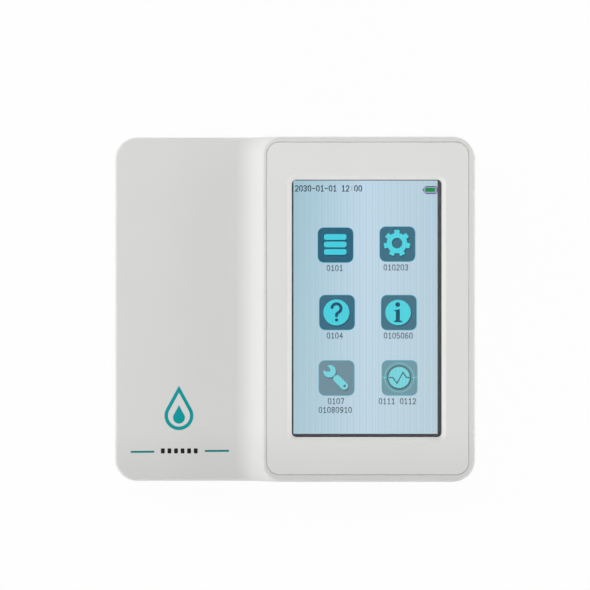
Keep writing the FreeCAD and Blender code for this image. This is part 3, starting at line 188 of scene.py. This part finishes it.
def moulded(name, base, roughness, grain=0.25, depth=0.008, vary=0.015, front_shade=0.0):
    """Moulded plastic: spark-eroded grain, a faint cloudiness and slightly uneven gloss.

    The last argument is how much darker it gets towards the front edge: painted shade for the light that
    falls off there.
    """
    made = Finish(name)
    clouded = made.mix(made.noise(22, 2), shade(base, 1 - vary), shade(base, 1 + vary))
    # Painted shade: the colour darkens towards the front edge
    front = made.between(made.axis("Y"), cad_low.y, cad_low.y + front_shade_length, front_shade, 0.0)
    made.set(
        base_color=made.mix(front, clouded, (0, 0, 0, 1)),
        roughness=made.between(made.noise(6, 3), 0.3, 0.7, roughness - 0.03, roughness + 0.03),
    )
    return made.bump(made.noise(grain, 2), depth)


def metal(name, base, roughness, stretch=(1, 1, 1), size=0.5, depth=0.004):
    """Bare metal with fine rolling or turning marks and faint stains."""
    made = Finish(name, metallic=1.0)
    marks = made.noise(size, 4, stretch)
    made.set(
        base_color=made.mix(made.noise(5, 3), shade(base, 0.88), base),
        roughness=made.between(marks, 0.3, 0.7, roughness - 0.07, roughness + 0.07),
    )
    return made.bump(marks, depth)


def foam(name, base):
    """Closed-cell foam or a soft gasket."""
    made = Finish(name)
    cell = made.cells(0.35)
    # Painted shade: the colour is darker in the hollows of the cells and lighter on their walls, following
    # the bump
    made.set(base_color=made.mix(cell, shade(base, 0.7), shade(base, 1.2)), roughness=0.9)
    return made.bump(cell, 0.05)


def clear(name, base, roughness, ior):
    """Glass or clear resin with faint wipe marks in its polish."""
    made = Finish(name, base_color=base, transmission_weight=1.0, ior=ior)
    marks = made.noise(4, 4, (1, 0.25, 1))
    made.set(roughness=made.between(marks, 0.4, 0.7, roughness, roughness + 0.03))
    return made


def circuit_board(name):
    """Green solder mask over copper tracks, with tinned vias."""
    made = Finish(name, roughness=0.32)
    across = made.math("GREATER_THAN", made.stripes(board_track_pitch, "X"), 0.72)
    along = made.math("GREATER_THAN", made.stripes(board_track_pitch, "Y"), 0.72)
    region = made.math("GREATER_THAN", made.noise(7, 0), 0.5)
    other_region = made.math("SUBTRACT", 1.0, region)
    tracks_across = made.math("MULTIPLY", across, region)
    tracks_along = made.math("MULTIPLY", along, other_region)
    tracks = made.math("ADD", tracks_across, tracks_along)
    vias = made.math("LESS_THAN", made.cells(2.6, 0.9), 0.13)
    mask = made.mix(tracks, colour(12, 74, 48), colour(26, 104, 66))
    made.set(base_color=made.mix(vias, mask, colour(196, 190, 168)), metallic=vias)
    return made.bump(made.math("ADD", tracks, vias), 0.035)


def flat_cable(name):
    """Amber polyimide ribbon with its copper conductors showing through."""
    made = Finish(name, roughness=0.3)
    wires = made.math("GREATER_THAN", made.stripes(0.5, "X"), 0.5)
    made.set(base_color=made.mix(wires, colour(196, 128, 40), colour(150, 86, 30)))
    return made.bump(wires, 0.02)


def shrink_sleeve(name):
    """Blue heat-shrink film round the cells, with soft wrinkles and a gloss."""
    made = Finish(name, coat_weight=0.4, coat_roughness=0.2)
    folds = made.noise(3.5, 3, (0.3, 1, 1))
    # Painted shade: the colour is darker where the wrinkles dip and lighter on their crests, following the
    # bump
    made.set(
        base_color=made.mix(folds, colour(30, 64, 118), colour(44, 84, 142)),
        roughness=made.between(folds, 0.3, 0.7, 0.28, 0.4),
    )
    return made.bump(folds, 0.12)


def lit(tone):
    """What a display colour has to glow with, since the glass over it adds a veil of room light."""
    return tuple(max(0.0, part - screen_veil) for part in tone[:3]) + (1.0,)


under_glass = {
    "base_color": shade(screen_border, 0.3),
    "roughness": 0.5,
    "specular_ior_level": 0.0,
    "emission_strength": 1.0,
}


def lit_screen(name, low, high):
    """The display's lit ground: bluer at its left, with the fine lines of its pixel columns and rows."""
    made = Finish(name, **under_glass)
    middle = (low.x + high.x) / 2
    left_part = made.mix(made.between(made.axis("X"), low.x, middle), lit(screen_left), lit(screen_middle))
    right_share = made.between(made.axis("X"), middle, high.x)
    ground = made.mix(right_share, left_part, lit(screen_right))
    ground = made.mix(made.between(made.axis("Y"), low.y, high.y, 0.4, 0.0), ground, lit(screen_low))
    fine = made.math("MULTIPLY", made.stripes(pixel_column, "X"), 0.12)
    broad = made.math("MULTIPLY", made.stripes(column_beat, "X"), 0.06)
    columns = made.mix(made.math("ADD", fine, broad), ground, (0.2, 0.3, 0.4, 1))
    rows = made.math("MULTIPLY", made.stripes(pixel_row, "Y"), 0.1)
    made.set(emission_color=made.mix(rows, columns, (0.9, 0.5, 0.95, 1)))
    return made


def lit_ink(name, tone):
    """A lit shape on the display, crossed by the faint lines of its pixels."""
    made = Finish(name, **under_glass)
    columns = made.stripes(pixel_column, "X")
    made.set(emission_color=made.mix(columns, lit(shade(tone, 0.95)), lit(shade(tone, 1.05))))
    return made


def ink(name, base):
    """Pad-printed ink: an even film with a slightly mottled, weak gloss."""
    made = Finish(name, specular_ior_level=0.12)
    made.set(
        base_color=made.mix(made.noise(2, 3), shade(base, 0.93), shade(base, 1.05)),
        roughness=made.between(made.noise(0.6, 2), 0.3, 0.7, 0.38, 0.48),
    )
    return made.bump(made.noise(0.2, 2), 0.004)


finishes = {
    # The case and the bezel are painted darker along the front edge, as shade
    "case_plastic": moulded("case_plastic", deck_white, 0.46, front_shade=0.12),
    "base_plastic": moulded("base_plastic", shade(deck_white, 0.97), 0.42, 0.3, 0.016),
    "bezel_plastic": moulded("bezel_plastic", colour(218, 218, 216), 0.42, 0.2, 0.006, front_shade=0.12),
    "tray_plastic": moulded("tray_plastic", colour(208, 209, 207), 0.36),
    "insert_plastic": moulded("insert_plastic", colour(190, 194, 196), 0.4),
    "tile_white": moulded("tile_white", colour(240, 240, 238), 0.6, 0.1, 0.004, 0.01),
    "button_grey": moulded("button_grey", colour(150, 155, 160), 0.4),
    "black_plastic": moulded("black_plastic", colour(34, 35, 37), 0.45, 0.3, 0.015, 0.1),
    "gear_plastic": moulded("gear_plastic", colour(224, 219, 203), 0.35, 0.4, 0.006),
    "rubber_grey": moulded("rubber_grey", colour(74, 76, 78), 0.75, 0.15, 0.02, 0.08),
    "touch_glass": clear("touch_glass", (1, 1, 1, 1), 0.0, 1.2),
    "lcd_glass": moulded("lcd_glass", screen_border, 0.2, 0.3, 0.002),
    "display_metal": metal("display_metal", colour(186, 188, 190), 0.34, (0.1, 1, 1)),
    "screw_steel": metal("screw_steel", colour(172, 172, 170), 0.3, size=0.2),
    "bright_steel": metal("bright_steel", colour(206, 206, 204), 0.2, (1, 1, 0.1), 0.3, 0.002),
    "brass": metal("brass", colour(208, 176, 104), 0.26, size=0.3),
    "board_green": circuit_board("board_green"),
    "chip_black": moulded("chip_black", colour(38, 38, 40), 0.55, 0.08, 0.008, 0.08),
    "socket_ivory": moulded("socket_ivory", colour(228, 221, 202), 0.45),
    "ribbon_amber": flat_cable("ribbon_amber"),
    "lead_grey": moulded("lead_grey", colour(118, 122, 126), 0.45, 0.3, 0.01, 0.05),
    "battery_sleeve": shrink_sleeve("battery_sleeve"),
    "gasket_black": foam("gasket_black", colour(36, 36, 38)),
    "lens_glass": clear("lens_glass", (1, 1, 1, 1), 0.01, 1.52),
    "led_clear": clear("led_clear", colour(236, 242, 248), 0.06, 1.5),
    "shield_metal": metal("shield_metal", colour(200, 200, 198), 0.3, (1, 0.15, 1), 0.4),
}
for node in nodes.values():
    for index, material in enumerate(node.data.materials):
        node.data.materials[index] = finishes[material.name].material


# Flat outlines, as lists of points


def arc(x, y, radius, start, end, steps):
    """Points on an arc, with its angles in degrees."""
    angles = [math.radians(start + (end - start) * i / steps) for i in range(steps + 1)]
    return [(x + radius * math.cos(a), y + radius * math.sin(a)) for a in angles]


def circle(x, y, radius, steps=48):
    return arc(x, y, radius, 0, 360, steps)[:-1]


def rounded_box(left, low, right, high, radius, inset=0):
    """A box with round corners, moved in by inset on every side."""
    left, low, right, high, radius = left + inset, low + inset, right - inset, high - inset, radius - inset
    corners = ((right, high, 0), (left, high, 90), (left, low, 180), (right, low, 270))
    points = []
    for x, y, start in corners:
        inward_x = -radius if x == right else radius
        inward_y = -radius if y == high else radius
        points += arc(x + inward_x, y + inward_y, radius, start, start + 90, 6)
    return points


sharpest_mitre = 0.35


def stroke(path, width):
    """The outline of a line with round ends and mitred bends."""
    points = [Vector(p) for p in path]
    ways = [(b - a).normalized() for a, b in zip(points, points[1:])]
    half = width / 2
    first = math.degrees(math.atan2(ways[0].y, ways[0].x))
    last = math.degrees(math.atan2(ways[-1].y, ways[-1].x))
    left, right = [], []
    for point, before, after in zip(points[1:-1], ways, ways[1:]):
        across = (before + after).orthogonal().normalized()
        reach = half / max(sharpest_mitre, across.dot(before.orthogonal()))
        left.append(tuple(point + across * reach))
        right.append(tuple(point - across * reach))
    start_cap = arc(*points[0], half, first + 90, first + 270, 8)
    end_cap = arc(*points[-1], half, last - 90, last + 90, 8)
    return start_cap + right + end_cap + left[::-1]


def gear_shape(x, y, outer, root, teeth):
    """A gear's outline, with one tooth at the top."""
    shoulder = root + 0.8 * (outer - root)
    tooth = (
        (-0.27, root), (-0.235, shoulder), (-0.19, outer),
        (0.19, outer), (0.235, shoulder), (0.27, root), (0.5, root),
    )
    points = []
    for i in range(teeth):
        for share, radius in tooth:
            a = math.pi / 2 + (i + share) * math.tau / teeth
            points.append((x + radius * math.cos(a), y + radius * math.sin(a)))
    return points


# Each numeral as lines between the points of a grid 2 wide and 4 high

numeral_lines = {
    "0": (((0.6, 0), (1.4, 0), (2, 0.8), (2, 3.2), (1.4, 4), (0.6, 4), (0, 3.2), (0, 0.8), (0.6, 0)),),
    "1": (((0.3, 3.2), (1.1, 4), (1.1, 0)), ((0.3, 0), (1.9, 0))),
    "2": (((0, 3.2), (0.6, 4), (1.4, 4), (2, 3.2), (2, 2.5), (0, 0), (2, 0)),),
    "3": (((0, 3.4), (0.6, 4), (1.4, 4), (2, 3.2), (1.4, 2.1), (2, 1), (1.4, 0), (0.6, 0), (0, 0.6)),
          ((0.7, 2.1), (1.4, 2.1))),
    "4": (((1.5, 0), (1.5, 4), (0, 1.4), (2.1, 1.4)),),
    "5": (((2, 4), (0.1, 4), (0, 2.3), (1.4, 2.4), (2, 1.7), (2, 0.7), (1.4, 0), (0.6, 0), (0, 0.6)),),
    "6": (((1.8, 3.8), (0.8, 4), (0, 2.8), (0, 0.8), (0.6, 0), (1.4, 0), (2, 0.8), (2, 1.6), (1.4, 2.3),
           (0.1, 2)),),
    "7": (((0, 4), (2, 4), (0.8, 0)),),
    "8": (((0.6, 2.1), (0, 3), (0.6, 4), (1.4, 4), (2, 3), (1.4, 2.1), (2, 1.1), (1.4, 0), (0.6, 0), (0, 1.1),
           (0.6, 2.1)),
          ((0.6, 2.1), (1.4, 2.1))),
    "9": (((0.2, 0.2), (1.2, 0), (2, 1.2), (2, 3.2), (1.4, 4), (0.6, 4), (0, 3.2), (0, 2.4), (0.6, 1.7),
           (1.9, 2)),),
    "-": (((0.1, 2), (1.9, 2)),),
    ":": (((1, 1), (1, 1.05)), ((1, 3), (1, 3.05))),
    " ": (),
}


numeral_pitch = 8
numeral_share = 0.62


def numerals(text, x, y, height, width):
    """Outlines of numerals in a row that starts at a lower left corner, drawn with lines of that width."""
    across, up = numeral_pitch * numeral_share / 2, height / 4
    return [
        [stroke([(x + i * numeral_pitch + u * across, y + v * up) for u, v in line], width)]
        for i, sign in enumerate(text)
        for line in numeral_lines[sign]
    ]


def plate(name, shapes, place, thickness, finish, body="root"):
    """One piece of flat shapes, each an outline and its holes, made thick towards the viewer.

    place turns a point of an outline and a height above the ground into a place in the row frame.
    """
    mesh = bmesh.new()
    for loops in shapes:
        flat = [p for loop in loops for p in loop]
        triangles = tessellate_polygon([[Vector((x, y, 0)) for x, y in loop] for loop in loops])
        low = [mesh.verts.new(place(x, y, 0)) for x, y in flat]
        high = [mesh.verts.new(place(x, y, thickness)) for x, y in flat]
        for face in triangles:
            mesh.faces.new([high[i] for i in face])
            mesh.faces.new([low[i] for i in reversed(face)])
        first = 0
        for loop in loops:
            count = len(loop)
            for i in range(count):
                a, b = first + i, first + (i + 1) % count
                mesh.faces.new((low[a], low[b], high[b], high[a]))
            first += count
    bmesh.ops.recalc_face_normals(mesh, faces=mesh.faces)
    data = bpy.data.meshes.new(name)
    mesh.to_mesh(data)
    mesh.free()
    data.materials.append(finish.material)
    piece = bpy.data.objects.new(name, data)
    bpy.context.scene.collection.objects.link(piece)
    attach(piece, body)
    return piece


# The lit screen. Its layout is in display pixels from the lit area's top left, 272 by 480, with y up

lit_low = Vector((-0.39, -46.6)) * mm
lit_high = Vector((53.5, 48.2)) * mm
pixels_wide = 272
pixel = (lit_high.x - lit_low.x) / pixels_wide
lit_bottom = -478.5
glass_low, glass_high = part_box("lcd_glass")
glass_corner = 0.4 * mm
picture_depth = 0.25 * mm
picture_bottom = glass_high.z - picture_depth
layer = 0.03 * mm


def on_screen(level):
    """Places display pixels on one of the thin layers over the display glass."""
    def place(x, y, height):
        return (lit_low.x + x * pixel, lit_high.y + y * pixel, picture_bottom + level * layer + height)

    return place


def as_loops(shapes):
    """The shapes with every bare outline made a list of loops."""
    return [shape if isinstance(shape[0], list) else [shape] for shape in shapes]


def screen_part(name, shapes, level, finish):
    plate(name, as_loops(shapes), on_screen(level), layer, finish)


def glass_place(x, y, height):
    return (x, y, glass_low.z + height)


display = plate(
    "display_cell",
    [[rounded_box(glass_low.x, glass_low.y, glass_high.x, glass_high.y, glass_corner)]],
    glass_place, picture_bottom - glass_low.z, finishes["lcd_glass"],
)
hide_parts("lcd_glass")

ground = lit_screen("screen_ground", lit_low, lit_high)
lit_area = [(0, lit_bottom), (pixels_wide, lit_bottom), (pixels_wide, 0), (0, 0)]
screen_part("screen_picture", [lit_area], 0, ground)

tile_wide, tile_tall, tile_corner, tile_rim_wide = 68.4, 67.4, 12, 1

# Each tile's lower left corner, its tone and its glyph's tone

tiles = {
    "list": (45.2, -155.6, colour(50, 99, 123), colour(72, 207, 224)),
    "gear": (162.2, -153.8, colour(67, 112, 131), colour(86, 214, 226)),
    "help": (48, -283, colour(64, 108, 130), colour(78, 208, 222)),
    "about": (164.8, -283.2, colour(75, 116, 134), colour(86, 212, 223)),
    "wrench": (47.2, -406.8, colour(115, 144, 156), colour(124, 212, 221)),
    "pulse": (166.2, -406.6, colour(117, 154, 165), colour(124, 212, 221)),
}
rim_finish = lit_ink("tile_rim", rim_blue)
for name, (left, low, tile_tone, _) in tiles.items():
    outline, inner = (
        rounded_box(left, low, left + tile_wide, low + tile_tall, tile_corner, inset)
        for inset in (0, tile_rim_wide)
    )
    screen_part(f"screen_tile_{name}", [inner], 1, lit_ink(f"tile_{name}", tile_tone))
    screen_part(f"screen_rim_{name}", [[outline, inner]], 1, rim_finish)


def ring(x, y, outer, inner):
    return [circle(x, y, outer), circle(x, y, inner)]


shadow_right, shadow_down, shadow_tone = 1.5, 2.2, 0.55


def icon(name, shapes):
    """A glyph on its tile and its small shadow to the lower right."""
    loops = as_loops(shapes)
    fallen = [[[(x + shadow_right, y - shadow_down) for x, y in loop] for loop in shape] for shape in loops]
    tile_tone, glyph_tone = tiles[name][2:]
    shadow_ink = lit_ink(f"shadow_{name}", shade(tile_tone, shadow_tone))
    screen_part(f"screen_{name}_shadow", fallen, 2, shadow_ink)
    screen_part(f"screen_{name}", loops, 3, lit_ink(f"glyph_{name}", glyph_tone))


gear_x, gear_y = 195.5, -118.2
wrench_x, wrench_y = 68.1, -360.3
pulse_x, pulse_y = 199.7, -372.2
wrench_head = arc(wrench_x, wrench_y, 11.8, 172, 467, 28) + [
    (wrench_x + 1.9, wrench_y + 3.1), (wrench_x + 0.6, wrench_y - 0.6), (wrench_x - 3.7, wrench_y - 1.0),
]
wrench_handle = [stroke([(82.2, -374.6), (96, -388.4)], 14), circle(96.8, -388.2, 2.6, 20)]
icon("list", [rounded_box(57.6, low, 100.2, low + 11, 4.2) for low in (-112.2, -126.3, -140.4)])
icon("gear", [[gear_shape(gear_x, gear_y, 25.3, 19.4, 7), circle(gear_x, gear_y, 9.9)]])
icon("help", [circle(81, -249.2, 24.6)])
icon("about", [circle(197.6, -249.4, 24.1)])
icon("wrench", [wrench_head, wrench_handle])
icon("pulse", [circle(pulse_x, pulse_y, 19.8)])

question_hook = arc(81.2, -241.4, 8.6, 170, -40, 14) + [(81.6, -252), (81.2, -255.6)]
letter_stem = [(190, -245.2), (200.9, -242.8), (200.9, -264), (205.2, -265.4), (205.2, -267.6), (190, -267.6),
               (190, -265.4), (193.4, -264), (193.4, -247.2), (190, -246.8)]
pulse_line = [(180.6, pulse_y), (187.8, pulse_y), (195.6, -383.2), (206.7, -362.3), (213.6, pulse_y),
              (219.4, pulse_y)]
pulse_arms = [stroke([(168, -372), (179, -372)], 2.2), stroke([(220.4, -372), (232, -372)], 2.2)]
screen_part(
    "screen_glyph_marks",
    [stroke(question_hook, 5.6), circle(81.3, -263.4, 3.1, 20), letter_stem, circle(196.8, -234.4, 4.5, 24)],
    4, lit_ink("glyph_marks", mark_blue),
)
screen_part(
    "screen_pulse_marks", [stroke(pulse_line, 2.1), ring(pulse_x, pulse_y, 23.1, 21.2)], 4,
    lit_ink("pulse_marks", pulse_grey),
)
screen_part(
    "screen_pulse_rings", [ring(pulse_x, pulse_y, 28, 26.6)] + pulse_arms, 3,
    lit_ink("pulse_rings", shade(tiles["pulse"][3], 0.85)),
)


# The numerals on the display: a date, a time and plain menu numbers

status_line = numerals("2030-01-01 12:00", 3.6, -20, 10.2, 1.7)
labels = (
    ("0101", 63.5, -170.4), ("010203", 171, -169.2), ("0104", 63.5, -298), ("0105060", 171.4, -298),
    ("0107", 65.8, -422), ("01080910", 48.4, -438.4), ("0111 0112", 161.8, -422),
)
menu_numbers = [n for text, x, y in labels for n in numerals(text, x, y, 10, 1.4)]
screen_part("screen_status_numerals", status_line, 1, lit_ink("status_ink", status_grey))
screen_part("screen_menu_numerals", menu_numbers, 1, lit_ink("menu_ink", menu_grey))

battery_case = [(243.5, -17.8), (248, -12), (250.5, -10.4), (268.8, -10.4), (271.8, -13.4), (271.8, -22.2),
                (268.8, -25.4), (250.5, -25.4), (248, -23.6)]
battery_inside = rounded_box(246, -24, 270.6, -11.8, 2.5)
battery_level = rounded_box(248.8, -21.4, 267.2, -13.8, 0.8)
screen_part("screen_battery_case", [battery_case], 1, lit_ink("battery_case", battery_rim))
screen_part("screen_battery_inside", [battery_inside], 2, lit_ink("battery_in", battery_pale))
screen_part("screen_battery_level", [battery_level], 3, lit_ink("level", battery_green))


# The seam round the bezel, closed by the lip of its seat

bezel_low, bezel_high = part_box("screen_bezel")
bezel_corner = 4.7 * mm
seam_depth = 0.42 * mm
lip_outside = 0.14 * mm
lip_inside = 0.02 * mm


def bezel_outline(inset):
    return rounded_box(bezel_low.x, bezel_low.y, bezel_high.x, bezel_high.y, bezel_corner, inset)


def in_seam(x, y, height):
    return (x, y, bezel_high.z - 2 * seam_depth + height)


lip = [bezel_outline(-lip_outside), bezel_outline(lip_inside)]
plate("bezel_seam", [lip], in_seam, seam_depth, finishes["bezel_plastic"])


# Prints on the deck and on the power button

deck_top = 38.0 * mm
ink_thickness = 0.03 * mm
photo_pixel = 0.3743 * mm
photo_centre = (294.55, 309.3)


def on_deck(x, y, height):
    """Places a point of the photograph on the deck."""
    return ((x - photo_centre[0]) * photo_pixel, (photo_centre[1] - y) * photo_pixel, deck_top + height)


black_ink = ink("black_ink", print_black)
dash_width = 1.9
dash_lines = [(130.9, 452.4), (153.1, 452.2)], [(205.3, 451.5), (228.1, 451.3)]
dashes = [[stroke(line, dash_width)] for line in dash_lines]
mark_count, mark_pitch = 6, 6.6
mark_places = [mark_pitch * i for i in range(mark_count)]
marks = [[rounded_box(160.5 + along, 448.9, 164.3 + along, 453.9, 0.7)] for along in mark_places]
plate("deck_dashes", dashes, on_deck, ink_thickness, ink("dash_ink", dash_teal))
plate("deck_marks", marks, on_deck, ink_thickness, black_ink)


def drop(x, y, radius, tip):
    """A liquid drop with its tip up, on an axis that points down."""
    return [(x, y - tip)] + arc(x, y, radius, -32, 212, 30)


drop_x, drop_y = 178.6, 416
drop_rim = [drop(drop_x, drop_y, 14.5, 30), drop(drop_x, drop_y, 11, 23)]
drop_core = [drop(drop_x, drop_y + 2, 6, 12.5)]
plate("deck_drop", [drop_rim, drop_core], on_deck, ink_thickness, ink("drop_ink", drop_teal))

button_low, button_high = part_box("power_button")
button_x = (button_low.x + button_high.x) / 2
button_z = (button_low.z + button_high.z) / 2


def on_button(x, y, height):
    """Places a point on the button's face, seen from behind the analyzer."""
    return (button_x - x, button_high.y + height, button_z + y)


power_line = 0.45 * mm
power_ring = arc(0, 0, 1.7 * mm, 120, 420, 24)
power_bar = [(0, 0.5 * mm), (0, 2.1 * mm)]
plate("power_symbol", [[stroke(power_ring, power_line)], [stroke(power_bar, power_line)]],
      on_button, ink_thickness, black_ink, "button")


# Floor, light and camera

background = (1.0, 1.0, 1.0, 1.0)
floor_albedo = colour(236, 236, 235)
floor_white_share = 0.95
floor_size = 4.0
floor_drop = 0.02 * mm
horizon_light = 0.66
zenith_light = 0.16


def seen_directly(tree):
    """1 for camera, mirror and glass rays, and 0 for the rays that light surfaces."""
    path = tree.nodes.new("ShaderNodeLightPath")
    total = path.outputs["Is Camera Ray"]
    for name in ("Is Glossy Ray", "Is Transmission Ray"):
        largest = tree.nodes.new("ShaderNodeMath")
        largest.operation = "MAXIMUM"
        tree.links.new(total, largest.inputs[0])
        tree.links.new(path.outputs[name], largest.inputs[1])
        total = largest.outputs[0]
    return total


def scaled_between(tree, factor, low, high):
    """A node's output from 0 to 1 spread from low to high."""
    spread = tree.nodes.new("ShaderNodeMapRange")
    tree.links.new(factor, spread.inputs["Value"])
    spread.inputs["To Min"].default_value = low
    spread.inputs["To Max"].default_value = high
    return spread.outputs[0]


world = bpy.data.worlds.new("studio")
bpy.context.scene.world = world
world.use_nodes = True
world_tree = world.node_tree
sky = world_tree.nodes["Background"]
sky.inputs["Color"].default_value = background
way = world_tree.nodes.new("ShaderNodeTexCoord")
height = world_tree.nodes.new("ShaderNodeSeparateXYZ")
world_tree.links.new(way.outputs["Generated"], height.inputs[0])
dome = scaled_between(world_tree, height.outputs["Z"], horizon_light, zenith_light)
choice = world_tree.nodes.new("ShaderNodeMix")
world_tree.links.new(seen_directly(world_tree), choice.inputs["Factor"])
world_tree.links.new(dome, choice.inputs["A"])
choice.inputs["B"].default_value = 1.0
world_tree.links.new(choice.outputs["Result"], sky.inputs["Strength"])

floor_material = bpy.data.materials.new("floor")
floor_material.use_nodes = True
floor_tree = floor_material.node_tree
floor_shader = floor_tree.nodes["Principled BSDF"]
floor_shader.inputs["Base Color"].default_value = floor_albedo
floor_shader.inputs["Roughness"].default_value = 0.9
floor_shader.inputs["Specular IOR Level"].default_value = 0.0
white = floor_tree.nodes.new("ShaderNodeEmission")
white.inputs["Color"].default_value = background
blend_shader = floor_tree.nodes.new("ShaderNodeMixShader")
floor_glow = scaled_between(floor_tree, seen_directly(floor_tree), 0.0, floor_white_share)
floor_tree.links.new(floor_glow, blend_shader.inputs[0])
floor_tree.links.new(floor_shader.outputs[0], blend_shader.inputs[1])
floor_tree.links.new(white.outputs[0], blend_shader.inputs[2])
floor_tree.links.new(blend_shader.outputs[0], floor_tree.nodes["Material Output"].inputs["Surface"])

floor_mesh = bmesh.new()
bmesh.ops.create_grid(floor_mesh, x_segments=1, y_segments=1, size=floor_size / 2)
floor_data = bpy.data.meshes.new("floor")
floor_mesh.to_mesh(floor_data)
floor_mesh.free()
floor_data.materials.append(floor_material)
floor = bpy.data.objects.new("floor", floor_data)
bpy.context.scene.collection.objects.link(floor)
floor.location.z = -floor_drop


lamp_target = Vector((0, 0, 0.03))


def soft_box(name, place, width, height, level, mirrored=False):
    """A rectangular lamp that lights a surface turned to it by the level, 1 being a white that renders white.

    Unless mirrored, it leaves no glare on the touch glass when that is seen low from the other side.
    """
    lamp = bpy.data.lights.new(name, "AREA")
    lamp.shape = "RECTANGLE"
    lamp.size, lamp.size_y = width, height
    away = Vector(place) - lamp_target
    lamp.energy = level * math.pi ** 2 * away.length_squared
    stand = bpy.data.objects.new(name, lamp)
    stand.location = place
    stand.rotation_euler = away.to_track_quat("Z", "Y").to_euler()
    stand.visible_glossy = mirrored
    bpy.context.scene.collection.objects.link(stand)


soft_box("left_light", (-0.95, 0.22, 0.33), 1.7, 0.6, 0.88)
soft_box("right_light", (0.95, 0.2, 0.19), 1.7, 0.28, 0.74)
soft_box("front_light", (0.0, -0.95, 0.37), 1.8, 0.66, 0.66)
soft_box("top_light", (0.0, 0.28, 0.95), 1.2, 0.3, 0.34, mirrored=True)

camera_data = bpy.data.cameras.new("camera")
camera_data.type = "PERSP"
camera_data.sensor_width = 36.0
camera_height = 1.302
picture_side = 590
picture_plane = 0.042
camera_data.lens = camera_data.sensor_width * (camera_height - picture_plane) / (picture_side * photo_pixel)
camera = bpy.data.objects.new("camera", camera_data)
camera.location = (
    (picture_side / 2 - photo_centre[0]) * photo_pixel, (photo_centre[1] - picture_side / 2) * photo_pixel,
    camera_height,
)
bpy.context.scene.collection.objects.link(camera)
bpy.context.scene.camera = camera
bpy.context.scene.view_settings.view_transform = "Standard"
